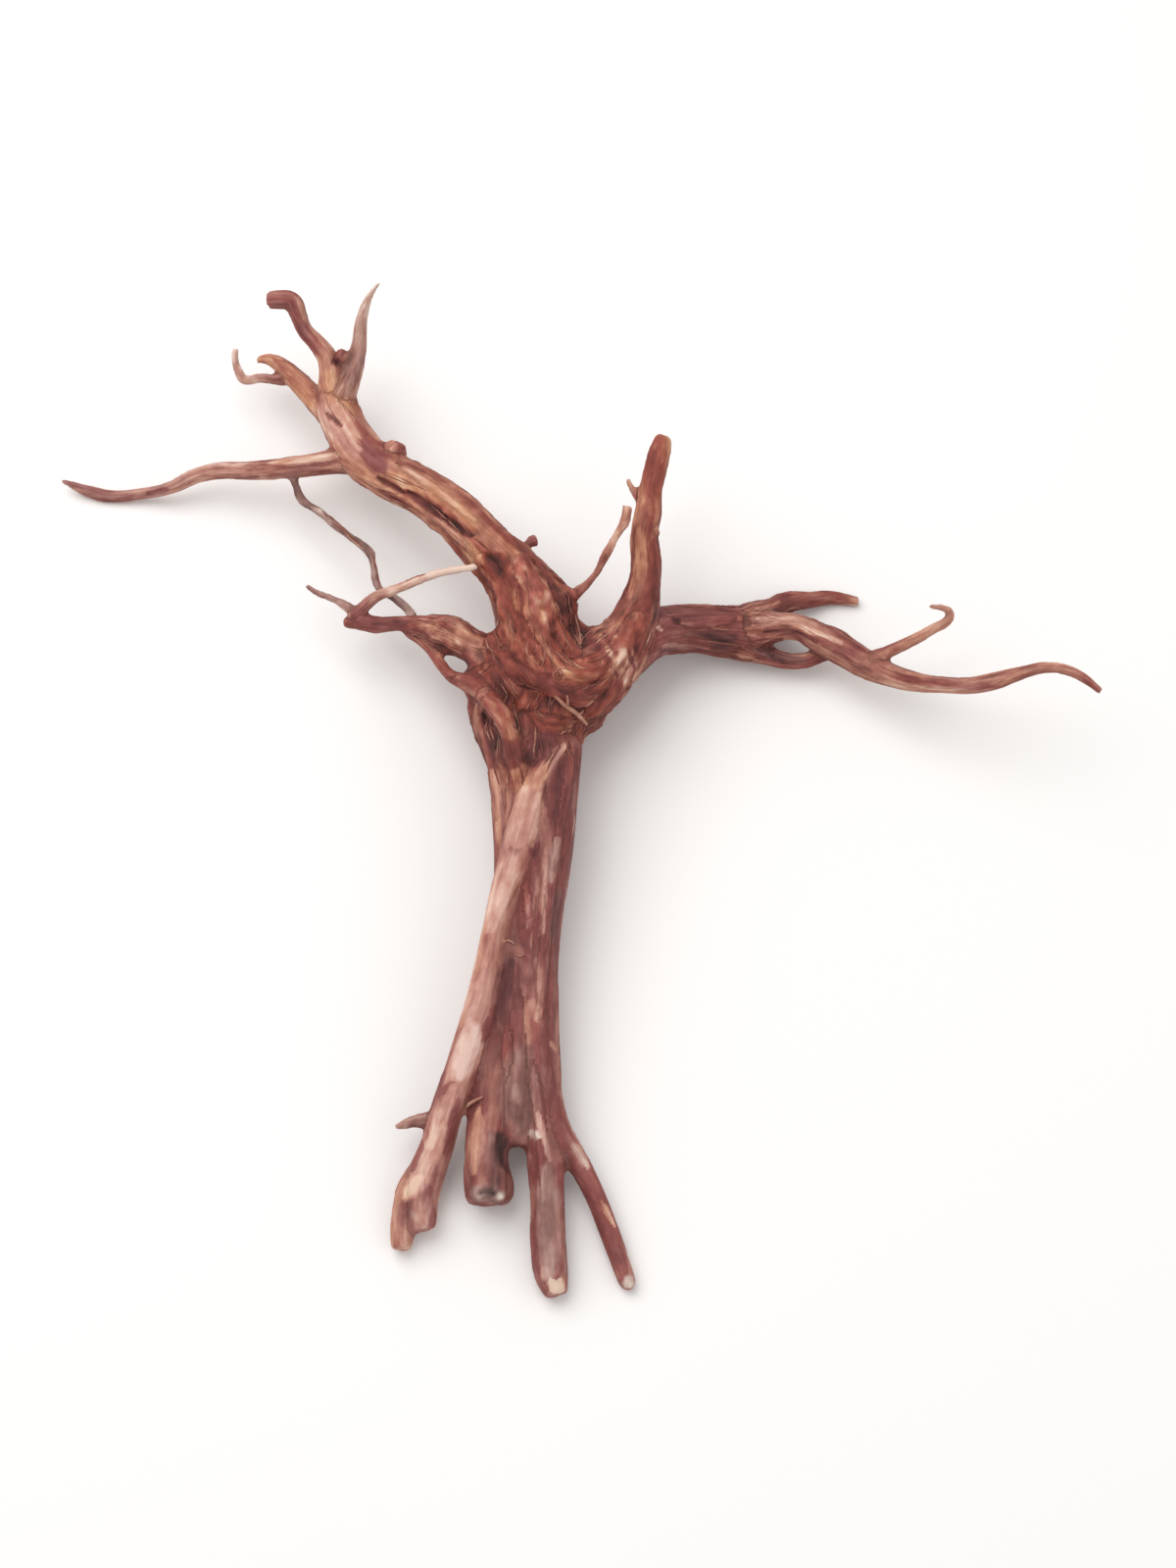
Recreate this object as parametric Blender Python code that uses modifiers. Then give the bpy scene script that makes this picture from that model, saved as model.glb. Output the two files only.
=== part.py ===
# A weathered mangrove root: a knotted crown with a long arm to the upper left, a short arm and a lacing
# branch to the right, and a fluted stock that ends in four broken feet. It lies on the floor, as it was found.
# X runs across, Y runs up the length of the root and Z is up. Lengths in the tables are millimetres.
import math

import bmesh
import bpy
import numpy as np
from mathutils import Vector
from mathutils.bvhtree import BVHTree

MM = 0.001

# The routes below were measured across and up in a view from this far away and this high above the floor.
VIEW_DISTANCE = 2400.0
VIEW_ELEVATION = math.radians(68)
MIDDLE = Vector((-14.5, -10.5))   # the middle of the finished root, where its origin is

VOXEL = 1.7 * MM                  # finest detail that the wood keeps where the roots grow together
SMOOTHING_PASSES = 3
TRIANGLES = 11400
FLOOR_BLOCK = 1.0                 # edge of the block below the floor that flattens the resting spots

FLUTES = 5                        # ridges round a thick root
FLUTE_DEPTH = 0.06                # as a share of the root's radius
SECTION_POINTS = 30
TWIST_PER_POINT = math.radians(9)
FIBRE_SINK = 0.35                 # share of a fibre's radius that lies under the surface

WOOD_COLOUR = (0.36, 0.155, 0.105, 1.0)
WOOD_ROUGHNESS = 0.8

# Each root is a route of points: across, up, height of its middle above the floor, radius.
CROWN = [
    (-34, 103, 54, 30), (-33, 88, 50, 37), (-33, 72, 45.5, 43.5), (-35, 57, 43.5, 45.5),
    (-38, 44, 43, 35.5), (-39, 28, 44, 31.5), (-38, 6, 44, 26),
]
CROWN_LEFT = [(-58, 78, 46, 18), (-62, 62, 44, 18), (-62, 45, 42, 17), (-60, 28, 42, 13), (-56, 10, 42, 10)]
CROWN_RIGHT = [(12, 92, 48, 20), (9, 74, 46, 20), (1, 60, 46, 17.5), (-8, 49, 46, 13)]
UNDER_LEFT = [
    (-44, -30, 22, 10), (-48, 20, 17, 12), (-54, 62, 16, 13), (-51, 100, 27, 12), (-62, 142, 46, 10),
    (-98, 181, 50, 8),
]
UNDER_RIGHT = [
    (-28, -20, 22, 10), (-20, 30, 16, 12), (0, 68, 15, 13), (30, 94, 18, 12), (68, 101, 17, 11),
    (104, 102, 12.5, 11),
]
LEFT_ARM = [
    (-34, 95, 56, 27), (-37, 120, 60, 25.5), (-46, 135, 62, 21.5), (-57, 149, 64, 18.5),
    (-70, 162, 65, 17.5), (-86, 180, 64, 16.3), (-109, 197, 60, 15.8), (-133, 209, 54, 16.3),
    (-154, 224, 48, 16.3), (-164, 239, 48, 15), (-172, 254, 50, 13.5), (-174, 265, 52, 11),
]
ARM_KNOB = [(-137, 219, 56, 9), (-131, 228, 60, 7.8), (-129, 232.5, 62, 5.4)]
ARM_NUB = [(-54, 155, 60, 4), (-46, 161, 60, 2.4), (-41, 164, 60, 3.4), (-37.8, 165.5, 60, 3)]
HOOKED_TIP = [
    (-174, 266, 54, 10), (-177, 288, 62, 7.5), (-184, 299, 66, 6.2), (-193, 309, 70, 5.6),
    (-197, 319, 76, 5.9), (-201, 328, 80, 6.5), (-210, 329.5, 80, 6.3), (-217, 329, 78, 5.8),
]
SPIKE_TIP = [
    (-168, 262, 54, 10), (-163, 274, 58, 8.4), (-158, 288, 63, 6.4), (-155.5, 300, 68, 5.2),
    (-154.3, 314, 76, 4.4), (-151, 326, 84, 3.2), (-146, 336, 92, 2.1), (-142, 341, 97, 1.5),
]
TIP_KNOB = [(-168, 290, 66, 5), (-166, 294, 70, 4)]
CURLED_TIP = [
    (-171, 250, 50, 12), (-180, 257, 48, 9.5), (-190, 266, 45, 8), (-199, 275.5, 42, 7.2),
    (-206, 282, 38, 6.4), (-213, 287, 34, 4.9), (-220, 289, 31, 3.6), (-225.5, 288, 30, 2.4),
]
CURLED_FORK = [
    (-202, 277, 40, 5), (-210, 275, 38, 3.8), (-223, 276, 33, 3.2), (-233.5, 275, 30, 3.4),
    (-238, 281, 30, 3.3), (-240, 288, 32, 2.8), (-240, 296, 34, 2.4),
]
LEFT_BRANCH = [
    (-158, 222, 47, 11), (-174, 219.5, 44, 8.1), (-200.5, 215.7, 38, 7), (-230, 213.3, 31, 6.2),
    (-252, 213, 25, 5.6), (-266, 209.5, 20, 5.3), (-284, 201.3, 13, 4.6), (-304, 197.3, 6.5, 4.1),
    (-322, 195.5, 3.4, 4.3), (-337, 198.2, 4.2, 4.5), (-350, 203, 8, 3), (-358, 206.5, 10, 1.8),
]
HANGING_TWIG = [
    (-201.5, 212, 36, 3.8), (-199, 204, 31, 2.8), (-195, 194, 28, 2.7), (-183, 185, 28, 2.6),
    (-172.5, 176.5, 30, 2.5), (-160, 167, 32, 2.6), (-149, 158, 33, 2.9), (-146, 148, 33, 2.6),
    (-144, 137, 33, 2.6), (-140, 131, 33, 2.7), (-131, 125.5, 34, 3), (-123, 119, 36, 3),
    (-119, 113, 38, 3),
]
CLUSTER = [
    (-52, 75, 58, 17), (-68, 87, 57, 12.5), (-80, 95, 54, 11.2), (-95, 103, 50, 12.5),
    (-105, 106.5, 47, 9), (-113, 108, 45, 7), (-123, 109, 43, 5.4), (-131, 109, 42, 5.2),
    (-140, 108.5, 41, 5.6), (-149, 109, 40, 6), (-158, 110.5, 39, 5.3), (-167, 110, 38, 3.8),
]
CLUSTER_WHIP = [
    (-159, 114, 41, 5), (-152, 121, 43, 4.6), (-143.7, 127.4, 46, 4), (-131, 132.3, 49, 3.5),
    (-115.6, 138.5, 54, 3), (-100.3, 144, 62, 2.8), (-87.6, 146, 72, 2.7), (-76, 148, 82, 2.3),
]
CLUSTER_SPUR = [
    (-160, 118, 40, 3.6), (-174.3, 126.3, 36, 2.4), (-183.2, 129.5, 34, 2.3), (-192, 134.8, 33, 1.8),
]
CLUSTER_STRAND = [
    (-123, 105, 36, 4.5), (-107, 94, 40, 5), (-98, 83, 46, 5.2), (-90, 73.5, 54, 5.2),
    (-78, 67.5, 66, 6.6), (-67, 57, 78, 6), (-57, 44, 86, 6.5), (-52, 28.7, 80, 6),
    (-49, 15, 73, 6), (-47, 0, 67, 5),
]
RIGHT_ARM = [
    (-14, 66, 50, 30), (6, 79, 52, 26), (23, 96, 54, 19.5), (32, 114, 58, 14.5), (37.5, 132, 63, 11),
    (39.5, 151, 68, 9.7), (38.3, 168, 72, 9.2), (41, 185, 76, 8.8), (42.5, 200, 80, 8),
    (46, 215, 84, 8), (49, 227, 87, 7.5), (52, 237, 90, 6),
]
ARM_KNOT = [(43, 172, 74, 6), (47.5, 174, 75, 4)]
ARM_SPUR = [(36, 192, 78, 3), (31, 199, 80, 2.4), (26.5, 208, 83, 1.8)]
CROTCH_TWIG = [
    (-16, 122, 66, 4.6), (-6, 131, 74, 3.4), (4.5, 142, 82, 3), (11.5, 155, 88, 3),
    (19, 168, 93, 3), (24.5, 178, 97, 3), (27, 189, 100, 3),
]
RIGHT_BRANCH = [
    (22, 90, 46, 21), (45, 103, 40, 16.5), (60, 105, 33, 16), (80, 105, 25, 16.4), (100, 103, 18.6, 18),
    (113, 103, 17.2, 18), (124, 104, 19, 14.5),
]
BRANCH_UPPER = [
    (112, 111, 22, 13), (124, 117.5, 18, 8.8), (135, 123, 13, 7.2), (150, 125, 8, 5.8),
    (165, 126.5, 4.2, 4.8), (184, 124, 3.2, 3.2),
]
BRANCH_MIDDLE = [
    (112, 106, 24, 14), (127, 106.5, 26, 10.8), (143, 106, 27, 9), (157, 99.5, 28, 9.8),
    (172, 91.5, 29, 10.5), (188, 82.5, 32, 9.5), (204, 75, 36, 8), (221, 70, 41, 6.8),
    (238, 68, 47, 5.6), (256, 67, 53, 5.3), (272, 69, 60, 5.6), (285, 72.5, 67, 5.2),
    (298, 76.5, 74, 4.3), (312, 79.5, 80, 3.9), (328, 77, 84, 3.6), (339, 71, 85, 3.2), (349, 63, 84, 2.3),
]
BRANCH_FORK = [
    (192, 82, 34, 8), (203, 89, 40, 4.8), (217.6, 96.2, 50, 4.2), (234, 105.2, 62, 3.7),
    (245, 112, 71, 3.4), (246, 117, 76, 2.9), (240, 120, 79, 2.4), (232, 121, 81, 1.8),
]
BRANCH_LOWER = [
    (106, 95, 18, 12), (120, 89, 15, 8.3), (133, 85.3, 14, 6.2), (147, 85.5, 15, 5.8),
    (160, 89, 20, 5.4), (172, 93, 26, 5),
]
STOCK = [
    (-33, 25, 47, 28), (-32, -5, 46, 25), (-31, -40, 43, 21), (-34, -75, 40, 18),
    (-37, -110, 37, 16.5), (-38, -140, 34, 16), (-37, -170, 31, 15.5), (-35, -200, 27, 15),
    (-32, -228, 23, 13), (-29, -255, 18.5, 11.5), (-27.5, -285, 14.5, 11), (-26.5, -315, 11.5, 11.3),
    (-24.5, -335, 10, 10.6), (-21, -348, 8, 7.5),
]
STOCK_LEFT = [
    (-50, 15, 45, 18), (-47, -20, 43, 17), (-46.5, -55, 41, 15.8), (-48, -90, 38, 15),
    (-51, -125, 35, 15), (-55, -155, 32, 15.5), (-60, -185, 29, 15), (-64.5, -212, 26, 13.8),
    (-68, -238, 23, 13.5), (-69.5, -262, 21, 13.6), (-69.5, -285, 20, 13),
]
STOCK_RIGHT = [
    (-18, 15, 51, 12.5), (-19.5, -20, 50, 11), (-24, -60, 46, 10), (-29, -100, 42, 9.2),
    (-31, -140, 38, 9.2), (-30.3, -180, 33, 9.2), (-27.5, -212, 28, 9), (-21, -236, 24, 9),
    (-10, -254, 19, 8), (2.5, -277, 13, 7), (14, -303, 8.5, 6.8), (22, -325, 6.4, 6.5),
    (27.5, -341, 5.4, 5.8),
]
STOCK_WEB = [(-48, -150, 33, 15), (-48, -190, 29, 15), (-48, -224, 25, 13), (-48, -246, 22, 9)]
STOCK_UNDERSIDE = [
    (-38, 50, 30, 26), (-36, 10, 26, 18), (-37, -50, 24, 15), (-41, -100, 22, 12), (-43, -150, 20, 11),
    (-45, -200, 18, 9),
]
LONG_FOOT = [
    (-15, 27, 72, 7), (-27, 16, 73, 9), (-38, -3, 71, 10), (-44, -25, 66, 10.4), (-50, -48, 61, 10),
    (-55.5, -66, 57, 9.2), (-60.5, -85, 54, 8.3), (-66, -108, 51, 7.8), (-69.5, -129, 48, 8.8),
    (-74.5, -152, 44, 9.5), (-81, -175, 39, 10.2), (-87.5, -197, 34, 10.6), (-96, -222, 28, 10.6),
    (-103.5, -248, 22, 11.4), (-110.5, -268, 16, 12.2), (-117, -285, 12, 11.6), (-122.5, -300, 9.2, 10.3),
    (-126.5, -316, 7.2, 7.8),
]
FOOT_TWIG = [
    (-101, -229, 27, 4.4), (-110, -230, 26, 3.9), (-118, -230.5, 25, 3.2), (-124.5, -232.5, 24, 2.3),
    (-129.5, -234.5, 23, 1.8),
]

# Fibres are laid on the surface as it is seen: across, up, radius.
FIBRES = [
    [(-70, 150, 4), (-62, 132, 5), (-58, 115, 5.5), (-52, 98, 5), (-44, 84, 4), (-33, 74, 3)],
    [(-44, 150, 4), (-38, 135, 5), (-33, 118, 5.5), (-27, 100, 5), (-19, 84, 5), (-6, 75, 4.5),
     (7, 77, 4), (17, 88, 3.5)],
    [(-27, 140, 4), (-17, 127, 4.5), (-12, 112, 4.5), (-10, 98, 4)],
    [(-64, 97, 4), (-49, 80, 5), (-33, 66, 5.5), (-14, 60, 5.5), (5, 65, 5), (17, 78, 4.5),
     (26, 95, 4), (31, 112, 3)],
    [(-54, 64, 4), (-42, 51, 5), (-25, 43, 5.5), (-6, 44, 5), (9, 53, 4.5), (20, 68, 4), (27, 82, 3)],
    [(-72, 62, 4), (-74, 47, 5), (-70, 30, 5), (-66, 14, 4), (-63.5, -2, 3.5), (-62, -20, 3)],
    [(-62, 88, 4), (-54, 70, 5), (-45, 55, 6), (-42, 38, 6), (-42, 24, 5)],
    [(-13, 36, 4), (-14, 14, 5), (-19, -22, 5), (-25, -62, 4.5), (-29, -100, 4), (-32, -140, 4),
     (-33, -180, 3.5)],
    [(-41, -62, 3), (-40, -85, 3.5), (-38, -112, 3.5)],
    [(-60, -112, 2.4), (-50, -117, 3), (-38, -119.5, 3.2), (-28, -117, 2.6)],
    [(-57, -150, 3), (-55, -180, 3.5), (-56, -205, 3)],
    [(-40, -170, 3), (-37, -200, 3.5), (-33, -230, 4), (-31, -260, 3.5), (-30, -300, 3)],
    [(-146, 231, 3.5), (-124, 214, 4), (-100, 198, 4.5), (-78, 179, 4), (-62, 160, 3.5)],
    [(-125, 192, 3), (-104, 181, 3.5), (-86, 165, 3.5), (-74, 148, 3)],
    [(50, 112, 3.5), (72, 110, 4), (95, 112, 4.5), (116, 116, 4)],
    [(48, 95, 3.5), (70, 97, 4), (92, 93, 4.5), (112, 92, 4)],
]

# Slits and hollows are pressed in where they are seen: route of (across, up), half width, depth.
HOLLOWS = [
    ([(-141, 206), (-121, 195), (-102, 184), (-81, 170)], 3.6, 5.0),
    ([(-64, 153), (-59, 143)], 5.0, 5.0),
    ([(-173, 289), (-171, 287)], 4.0, 3.0),
    ([(-69, 42), (-65, 29)], 6.0, 6.0),
    ([(-4, 104), (-3, 96)], 5.0, 5.0),
    ([(-28, -2), (-27, -30), (-28, -60)], 3.5, 3.5),
    ([(-59, -243), (-57, -250)], 4.0, 6.0),
]


def clear_scene():
    for old in list(bpy.data.objects):
        bpy.data.objects.remove(old)


def eye():
    return VIEW_DISTANCE * Vector((0, -math.cos(VIEW_ELEVATION), math.sin(VIEW_ELEVATION)))


def seen(across, up):
    """The point of the picture plane, which stands upright to the view through the picture's middle."""
    return Vector((across, up * math.sin(VIEW_ELEVATION), up * math.cos(VIEW_ELEVATION)))


def in_part(place):
    """A place of the view in the part's own frame, in metres."""
    return Vector((place.x - MIDDLE.x, place.y - MIDDLE.y, place.z)) * MM


def at_height(across, up, height):
    """The place on the sight line through (across, up) that is this high above the floor."""
    start = eye()
    line = seen(across, up) - start
    return in_part(start + line * ((start.z - height) / -line.z))


def on_surface(tree, across, up, sink):
    """The place where the sight line through (across, up) meets the wood, sunk into it."""
    start = in_part(eye())
    line = (in_part(seen(across, up)) - start).normalized()
    place, normal, _, _ = tree.ray_cast(start, line)
    if place is None:
        return None
    return place - normal * sink


def section_outline(name, flute_depth, points, collection):
    """A closed outline of radius 1, which roots are drawn along their routes with."""
    outline = bpy.data.curves.new(name, "CURVE")
    outline.dimensions = "2D"
    spline = outline.splines.new("POLY")
    spline.points.add(points - 1)
    for i, point in enumerate(spline.points):
        turn = 2 * math.pi * i / points
        radius = 1 + flute_depth * (math.sin(FLUTES * turn) + 0.5 * math.sin(2 * turn))
        point.co = (radius * math.cos(turn), radius * math.sin(turn), 0, 1)
    spline.use_cyclic_u = True
    section = bpy.data.objects.new(name, outline)
    section.hide_render = True
    section.display_type = "WIRE"
    collection.objects.link(section)
    return section


def swept(name, places, radii, section, collection):
    """A closed tube mesh along a smooth curve through the places, swelling and thinning with the radii."""
    path = bpy.data.curves.new(name, "CURVE")
    path.dimensions = "3D"
    path.bevel_mode = "OBJECT"
    path.bevel_object = section
    path.use_fill_caps = True
    path.resolution_u = 8
    spline = path.splines.new("BEZIER")
    spline.radius_interpolation = "CARDINAL"
    spline.bezier_points.add(len(places) - 1)
    for i, (point, place, radius) in enumerate(zip(spline.bezier_points, places, radii)):
        point.co = place
        point.radius = radius * MM
        point.tilt = TWIST_PER_POINT * i
        point.handle_left_type = "AUTO"
        point.handle_right_type = "AUTO"
    curve = bpy.data.objects.new(name, path)
    collection.objects.link(curve)
    bpy.context.view_layer.update()
    evaluated = curve.evaluated_get(bpy.context.evaluated_depsgraph_get())
    mesh = bpy.data.meshes.new_from_object(evaluated)
    bpy.data.objects.remove(curve)
    return mesh


def joined(meshes):
    """The meshes in one, with the tubes' end caps welded to their walls."""
    whole = bmesh.new()
    for mesh in meshes:
        tube = bmesh.new()
        tube.from_mesh(mesh)
        bmesh.ops.remove_doubles(tube, verts=tube.verts, dist=0.001 * MM)
        bmesh.ops.recalc_face_normals(tube, faces=tube.faces)
        tube.to_mesh(mesh)
        tube.free()
        whole.from_mesh(mesh)
    result = bpy.data.meshes.new("mangrove_root")
    whole.to_mesh(result)
    whole.free()
    return result


def applied(wood):
    """The mesh that the wood's modifiers make. The modifiers are then taken off."""
    bpy.context.view_layer.update()
    evaluated = wood.evaluated_get(bpy.context.evaluated_depsgraph_get())
    mesh = bpy.data.meshes.new_from_object(evaluated)
    wood.modifiers.clear()
    return mesh


def fused(wood):
    """Gives the wood one closed skin round all that is joined in its mesh, softened where roots meet."""
    fuse = wood.modifiers.new("fuse", "REMESH")
    fuse.mode = "VOXEL"
    fuse.voxel_size = VOXEL
    soften = wood.modifiers.new("soften", "SMOOTH")
    soften.factor = 0.5
    soften.iterations = SMOOTHING_PASSES
    mesh = applied(wood)
    without_scraps(mesh)
    return mesh


def press_hollows(mesh, tree):
    """Presses the slits and hollows into the skin, deepest along their middles."""
    places = np.empty(len(mesh.vertices) * 3, np.float32)
    normals = np.empty_like(places)
    mesh.vertices.foreach_get("co", places)
    mesh.vertices.foreach_get("normal", normals)
    places = places.reshape(-1, 3)
    normals = normals.reshape(-1, 3)
    facing = np.clip(normals @ np.array(eye().normalized()), 0, 1)
    for route, half_width, depth in HOLLOWS:
        line = [np.array(on_surface(tree, across, up, 0)) for across, up in route]
        nearest = np.full(len(places), np.inf)
        for start, end in zip(line, line[1:]):
            along = end - start
            share = np.clip((places - start) @ along / (along @ along), 0, 1)
            nearest = np.minimum(nearest, np.linalg.norm(places - start - share[:, None] * along, axis=1))
        pressed = depth * MM * facing * np.exp(-(nearest / (half_width * MM)) ** 2)
        places -= normals * pressed[:, None]
    mesh.vertices.foreach_set("co", places.ravel())
    mesh.update()


def grown_wood(collection, guides):
    """The roots grown together, with the fibres on them and the hollows in them."""
    thick = section_outline("fluted_section", FLUTE_DEPTH, SECTION_POINTS, guides)
    thin = section_outline("plain_section", 0.0, SECTION_POINTS // 2, guides)
    meshes = []
    for name, route in ROUTES.items():
        places = [at_height(across, up, height) for across, up, height, _ in route]
        radii = [radius for _, _, _, radius in route]
        meshes.append(swept(name, places, radii, thick, collection))
    wood = bpy.data.objects.new("mangrove_root", joined(meshes))
    collection.objects.link(wood)
    bare = fused(wood)
    tree = BVHTree.FromPolygons([v.co for v in bare.vertices], [p.vertices for p in bare.polygons])
    for fibre in FIBRES:
        places = [on_surface(tree, across, up, FIBRE_SINK * radius * MM) for across, up, radius in fibre]
        radii = [radius for place, (_, _, radius) in zip(places, fibre) if place]
        places = [place for place in places if place]
        meshes.append(swept("fibre", places, radii, thin, collection))
    wood.data = joined(meshes)
    wood.data = fused(wood)
    press_hollows(wood.data, tree)
    return wood


def weathered_wood():
    """Bare, sun-bleached wood with a dull surface."""
    material = bpy.data.materials.new("weathered_wood")
    material.use_nodes = True
    shader = material.node_tree.nodes["Principled BSDF"]
    shader.inputs["Base Color"].default_value = WOOD_COLOUR
    shader.inputs["Roughness"].default_value = WOOD_ROUGHNESS
    shader.inputs["Metallic"].default_value = 0.0
    material.diffuse_color = WOOD_COLOUR
    return material


def floor_block(guides):
    """The block whose top is the floor."""
    bpy.ops.mesh.primitive_cube_add(size=FLOOR_BLOCK, location=(0, 0, -FLOOR_BLOCK / 2))
    block = bpy.context.active_object
    block.name = "floor_block"
    block.hide_render = True
    block.display_type = "WIRE"
    for owner in list(block.users_collection):
        owner.objects.unlink(block)
    guides.objects.link(block)
    return block


def without_scraps(mesh):
    """Keeps only the mesh's largest connected piece."""
    whole = bmesh.new()
    whole.from_mesh(mesh)
    left = set(whole.verts)
    pieces = []
    while left:
        edge_of_piece = [left.pop()]
        piece = list(edge_of_piece)
        while edge_of_piece:
            vert = edge_of_piece.pop()
            near = [edge.other_vert(vert) for edge in vert.link_edges]
            fresh = [other for other in near if other in left]
            left.difference_update(fresh)
            edge_of_piece.extend(fresh)
            piece.extend(fresh)
        pieces.append(piece)
    pieces.sort(key=len)
    scraps = [vert for piece in pieces[:-1] for vert in piece]
    bmesh.ops.delete(whole, geom=scraps, context="VERTS")
    whole.to_mesh(mesh)
    whole.free()


def thinned_and_levelled(wood, guides):
    """Leaves fewer triangles on the wood and cuts it level with the floor, so that it lies on flat spots."""
    thin_out = wood.modifiers.new("thin_out", "DECIMATE")
    thin_out.ratio = TRIANGLES / (2 * len(wood.data.polygons))
    level = wood.modifiers.new("level", "BOOLEAN")
    level.operation = "DIFFERENCE"
    level.object = floor_block(guides)
    wood.data = applied(wood)
    without_scraps(wood.data)


ROUTES = {
    "crown": CROWN, "crown_left": CROWN_LEFT, "crown_right": CROWN_RIGHT,
    "under_left": UNDER_LEFT, "under_right": UNDER_RIGHT,
    "left_arm": LEFT_ARM, "arm_knob": ARM_KNOB, "arm_nub": ARM_NUB,
    "hooked_tip": HOOKED_TIP, "spike_tip": SPIKE_TIP, "tip_knob": TIP_KNOB, "curled_tip": CURLED_TIP,
    "curled_fork": CURLED_FORK, "left_branch": LEFT_BRANCH, "hanging_twig": HANGING_TWIG,
    "cluster": CLUSTER, "cluster_whip": CLUSTER_WHIP, "cluster_spur": CLUSTER_SPUR,
    "cluster_strand": CLUSTER_STRAND, "right_arm": RIGHT_ARM, "arm_knot": ARM_KNOT,
    "arm_spur": ARM_SPUR, "crotch_twig": CROTCH_TWIG, "right_branch": RIGHT_BRANCH,
    "branch_upper": BRANCH_UPPER, "branch_middle": BRANCH_MIDDLE, "branch_fork": BRANCH_FORK,
    "branch_lower": BRANCH_LOWER, "stock": STOCK, "stock_left": STOCK_LEFT,
    "stock_right": STOCK_RIGHT, "stock_web": STOCK_WEB, "stock_underside": STOCK_UNDERSIDE,
    "long_foot": LONG_FOOT, "foot_twig": FOOT_TWIG,
}


def main():
    clear_scene()
    collection = bpy.data.collections.new("mangrove_root")
    guides = bpy.data.collections.new("guides")
    bpy.context.scene.collection.children.link(collection)
    bpy.context.scene.collection.children.link(guides)
    wood = grown_wood(collection, guides)
    wood.data.materials.clear()
    wood.data.materials.append(weathered_wood())
    thinned_and_levelled(wood, guides)
    wood.data.shade_smooth()


main()
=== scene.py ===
import math
import random

import bpy
import numpy as np
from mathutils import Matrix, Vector, noise
from mathutils.bvhtree import BVHTree
from mathutils.kdtree import KDTree


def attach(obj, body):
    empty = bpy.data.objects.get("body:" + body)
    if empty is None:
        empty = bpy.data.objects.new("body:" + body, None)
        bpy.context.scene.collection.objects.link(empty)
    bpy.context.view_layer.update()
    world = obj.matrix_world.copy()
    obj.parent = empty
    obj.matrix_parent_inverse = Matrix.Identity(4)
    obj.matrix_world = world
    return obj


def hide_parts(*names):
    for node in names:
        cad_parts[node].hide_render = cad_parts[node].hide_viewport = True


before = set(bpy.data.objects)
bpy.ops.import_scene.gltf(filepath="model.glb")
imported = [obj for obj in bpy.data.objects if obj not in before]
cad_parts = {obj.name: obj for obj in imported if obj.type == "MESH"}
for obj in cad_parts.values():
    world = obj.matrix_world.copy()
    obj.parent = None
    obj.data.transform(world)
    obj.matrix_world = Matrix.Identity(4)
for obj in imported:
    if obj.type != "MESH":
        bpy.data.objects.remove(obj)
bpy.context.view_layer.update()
bpy.ops.object.select_all(action="DESELECT")
mm = 0.001
print("frame loaded")

# The view that the routes below were read in, and that the camera looks from (mm and degrees)
view = {
    "distance": 2400.0,
    "elevation": 68.0,
    "middle": (-14.5, -10.5),    # the part's origin, on the floor of that view
    "frameWidth": 800.0,         # how much of the view the picture takes in
    "sensor": 36.0,
}

# The wood as one skin
wood = {
    "voxel": 1.72,               # mm; grooves finer than this are left to the bump
    "softening": 2,
    "flutes": 5,
    "fluteDepth": 0.06,          # share of a root's radius
    "outlinePoints": 30,
    "twistPerPoint": 9.0,        # degrees
    "creaseFill": 0.30,          # share of a root's radius that narrow creases beside it are filled to
    "mostFill": 5.0,             # mm
    "leastFillShare": 0.15,
    "fillEvening": 8,            # rounds that even the fill out
    "settlesFrom": 6,            # mm of radius; thinner wood keeps its creases
    "settlesOver": 8,            # mm more, until it settles in full
    "settlingBlend": 10,
    "settling": 14,              # rounds that round the thick wood off where roots grew together
    "sampleStep": 2.5,           # mm between the points that the grain is read from
    "reach": 14.0,               # mm outside a root where its grain still counts
    "grainApart": 137.0,         # mm between two roots in the pattern, so that none share a groove
    "widestSeam": 30,            # mm
    "fibreSink": 0.5,            # share of a laid fibre's radius that is under the wood
    "fibreEnd": 0.5,             # share of its radius at the ends
}
farAway = 1e9

# Grooves of the grain: width across it, length along it, depth (mm)
relief = [
    {"across": 9.0, "along": 90.0, "depth": 1.0, "seed": 3.0},
    {"across": 4.2, "along": 40.0, "depth": 0.7, "seed": 31.0},
    {"across": 2.6, "along": 22.0, "depth": 0.45, "seed": 67.0},
]

# Where thin bark is left: patches of these sizes (mm) that raise or lower the share of bark
barkPatches = [
    {"across": 10.0, "along": 46.0, "weight": 0.62, "seed": 101.0},
    {"across": 5.0, "along": 20.0, "weight": 0.42, "seed": 131.0},
    {"across": 2.6, "along": 8.0, "weight": 0.24, "seed": 151.0},
]
barkThickness = 0.55             # mm

# How the grain is cut: sizes in mm, the rest are shares or rounds
weathering = {
    "seam": 1.6, "seamCalm": 0.8,              # grooves fade where two roots meet
    "fullSize": 12, "leastSize": 0.12,         # thin wood has shallower grooves
    "sizeRounds": 8, "lookRounds": 12, "hollowRounds": 14,
    "facing": 1.4,                             # marks fade on wood that turns from the view
    "leastTuft": 0.3, "barkFrom": 0.44, "barkOver": 0.12,
}

# The ragged edge of a mark: amount, width, length and seed of its wander, and how it fades
markEdge = {
    "wander": [(0.7, 3.0, 12.0, 11.0), (0.5, 1.6, 5.0, 13.0)],
    "sway": 0.5, "taper": 4.5, "full": 1.6, "fade": 1.2,
}

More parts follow.
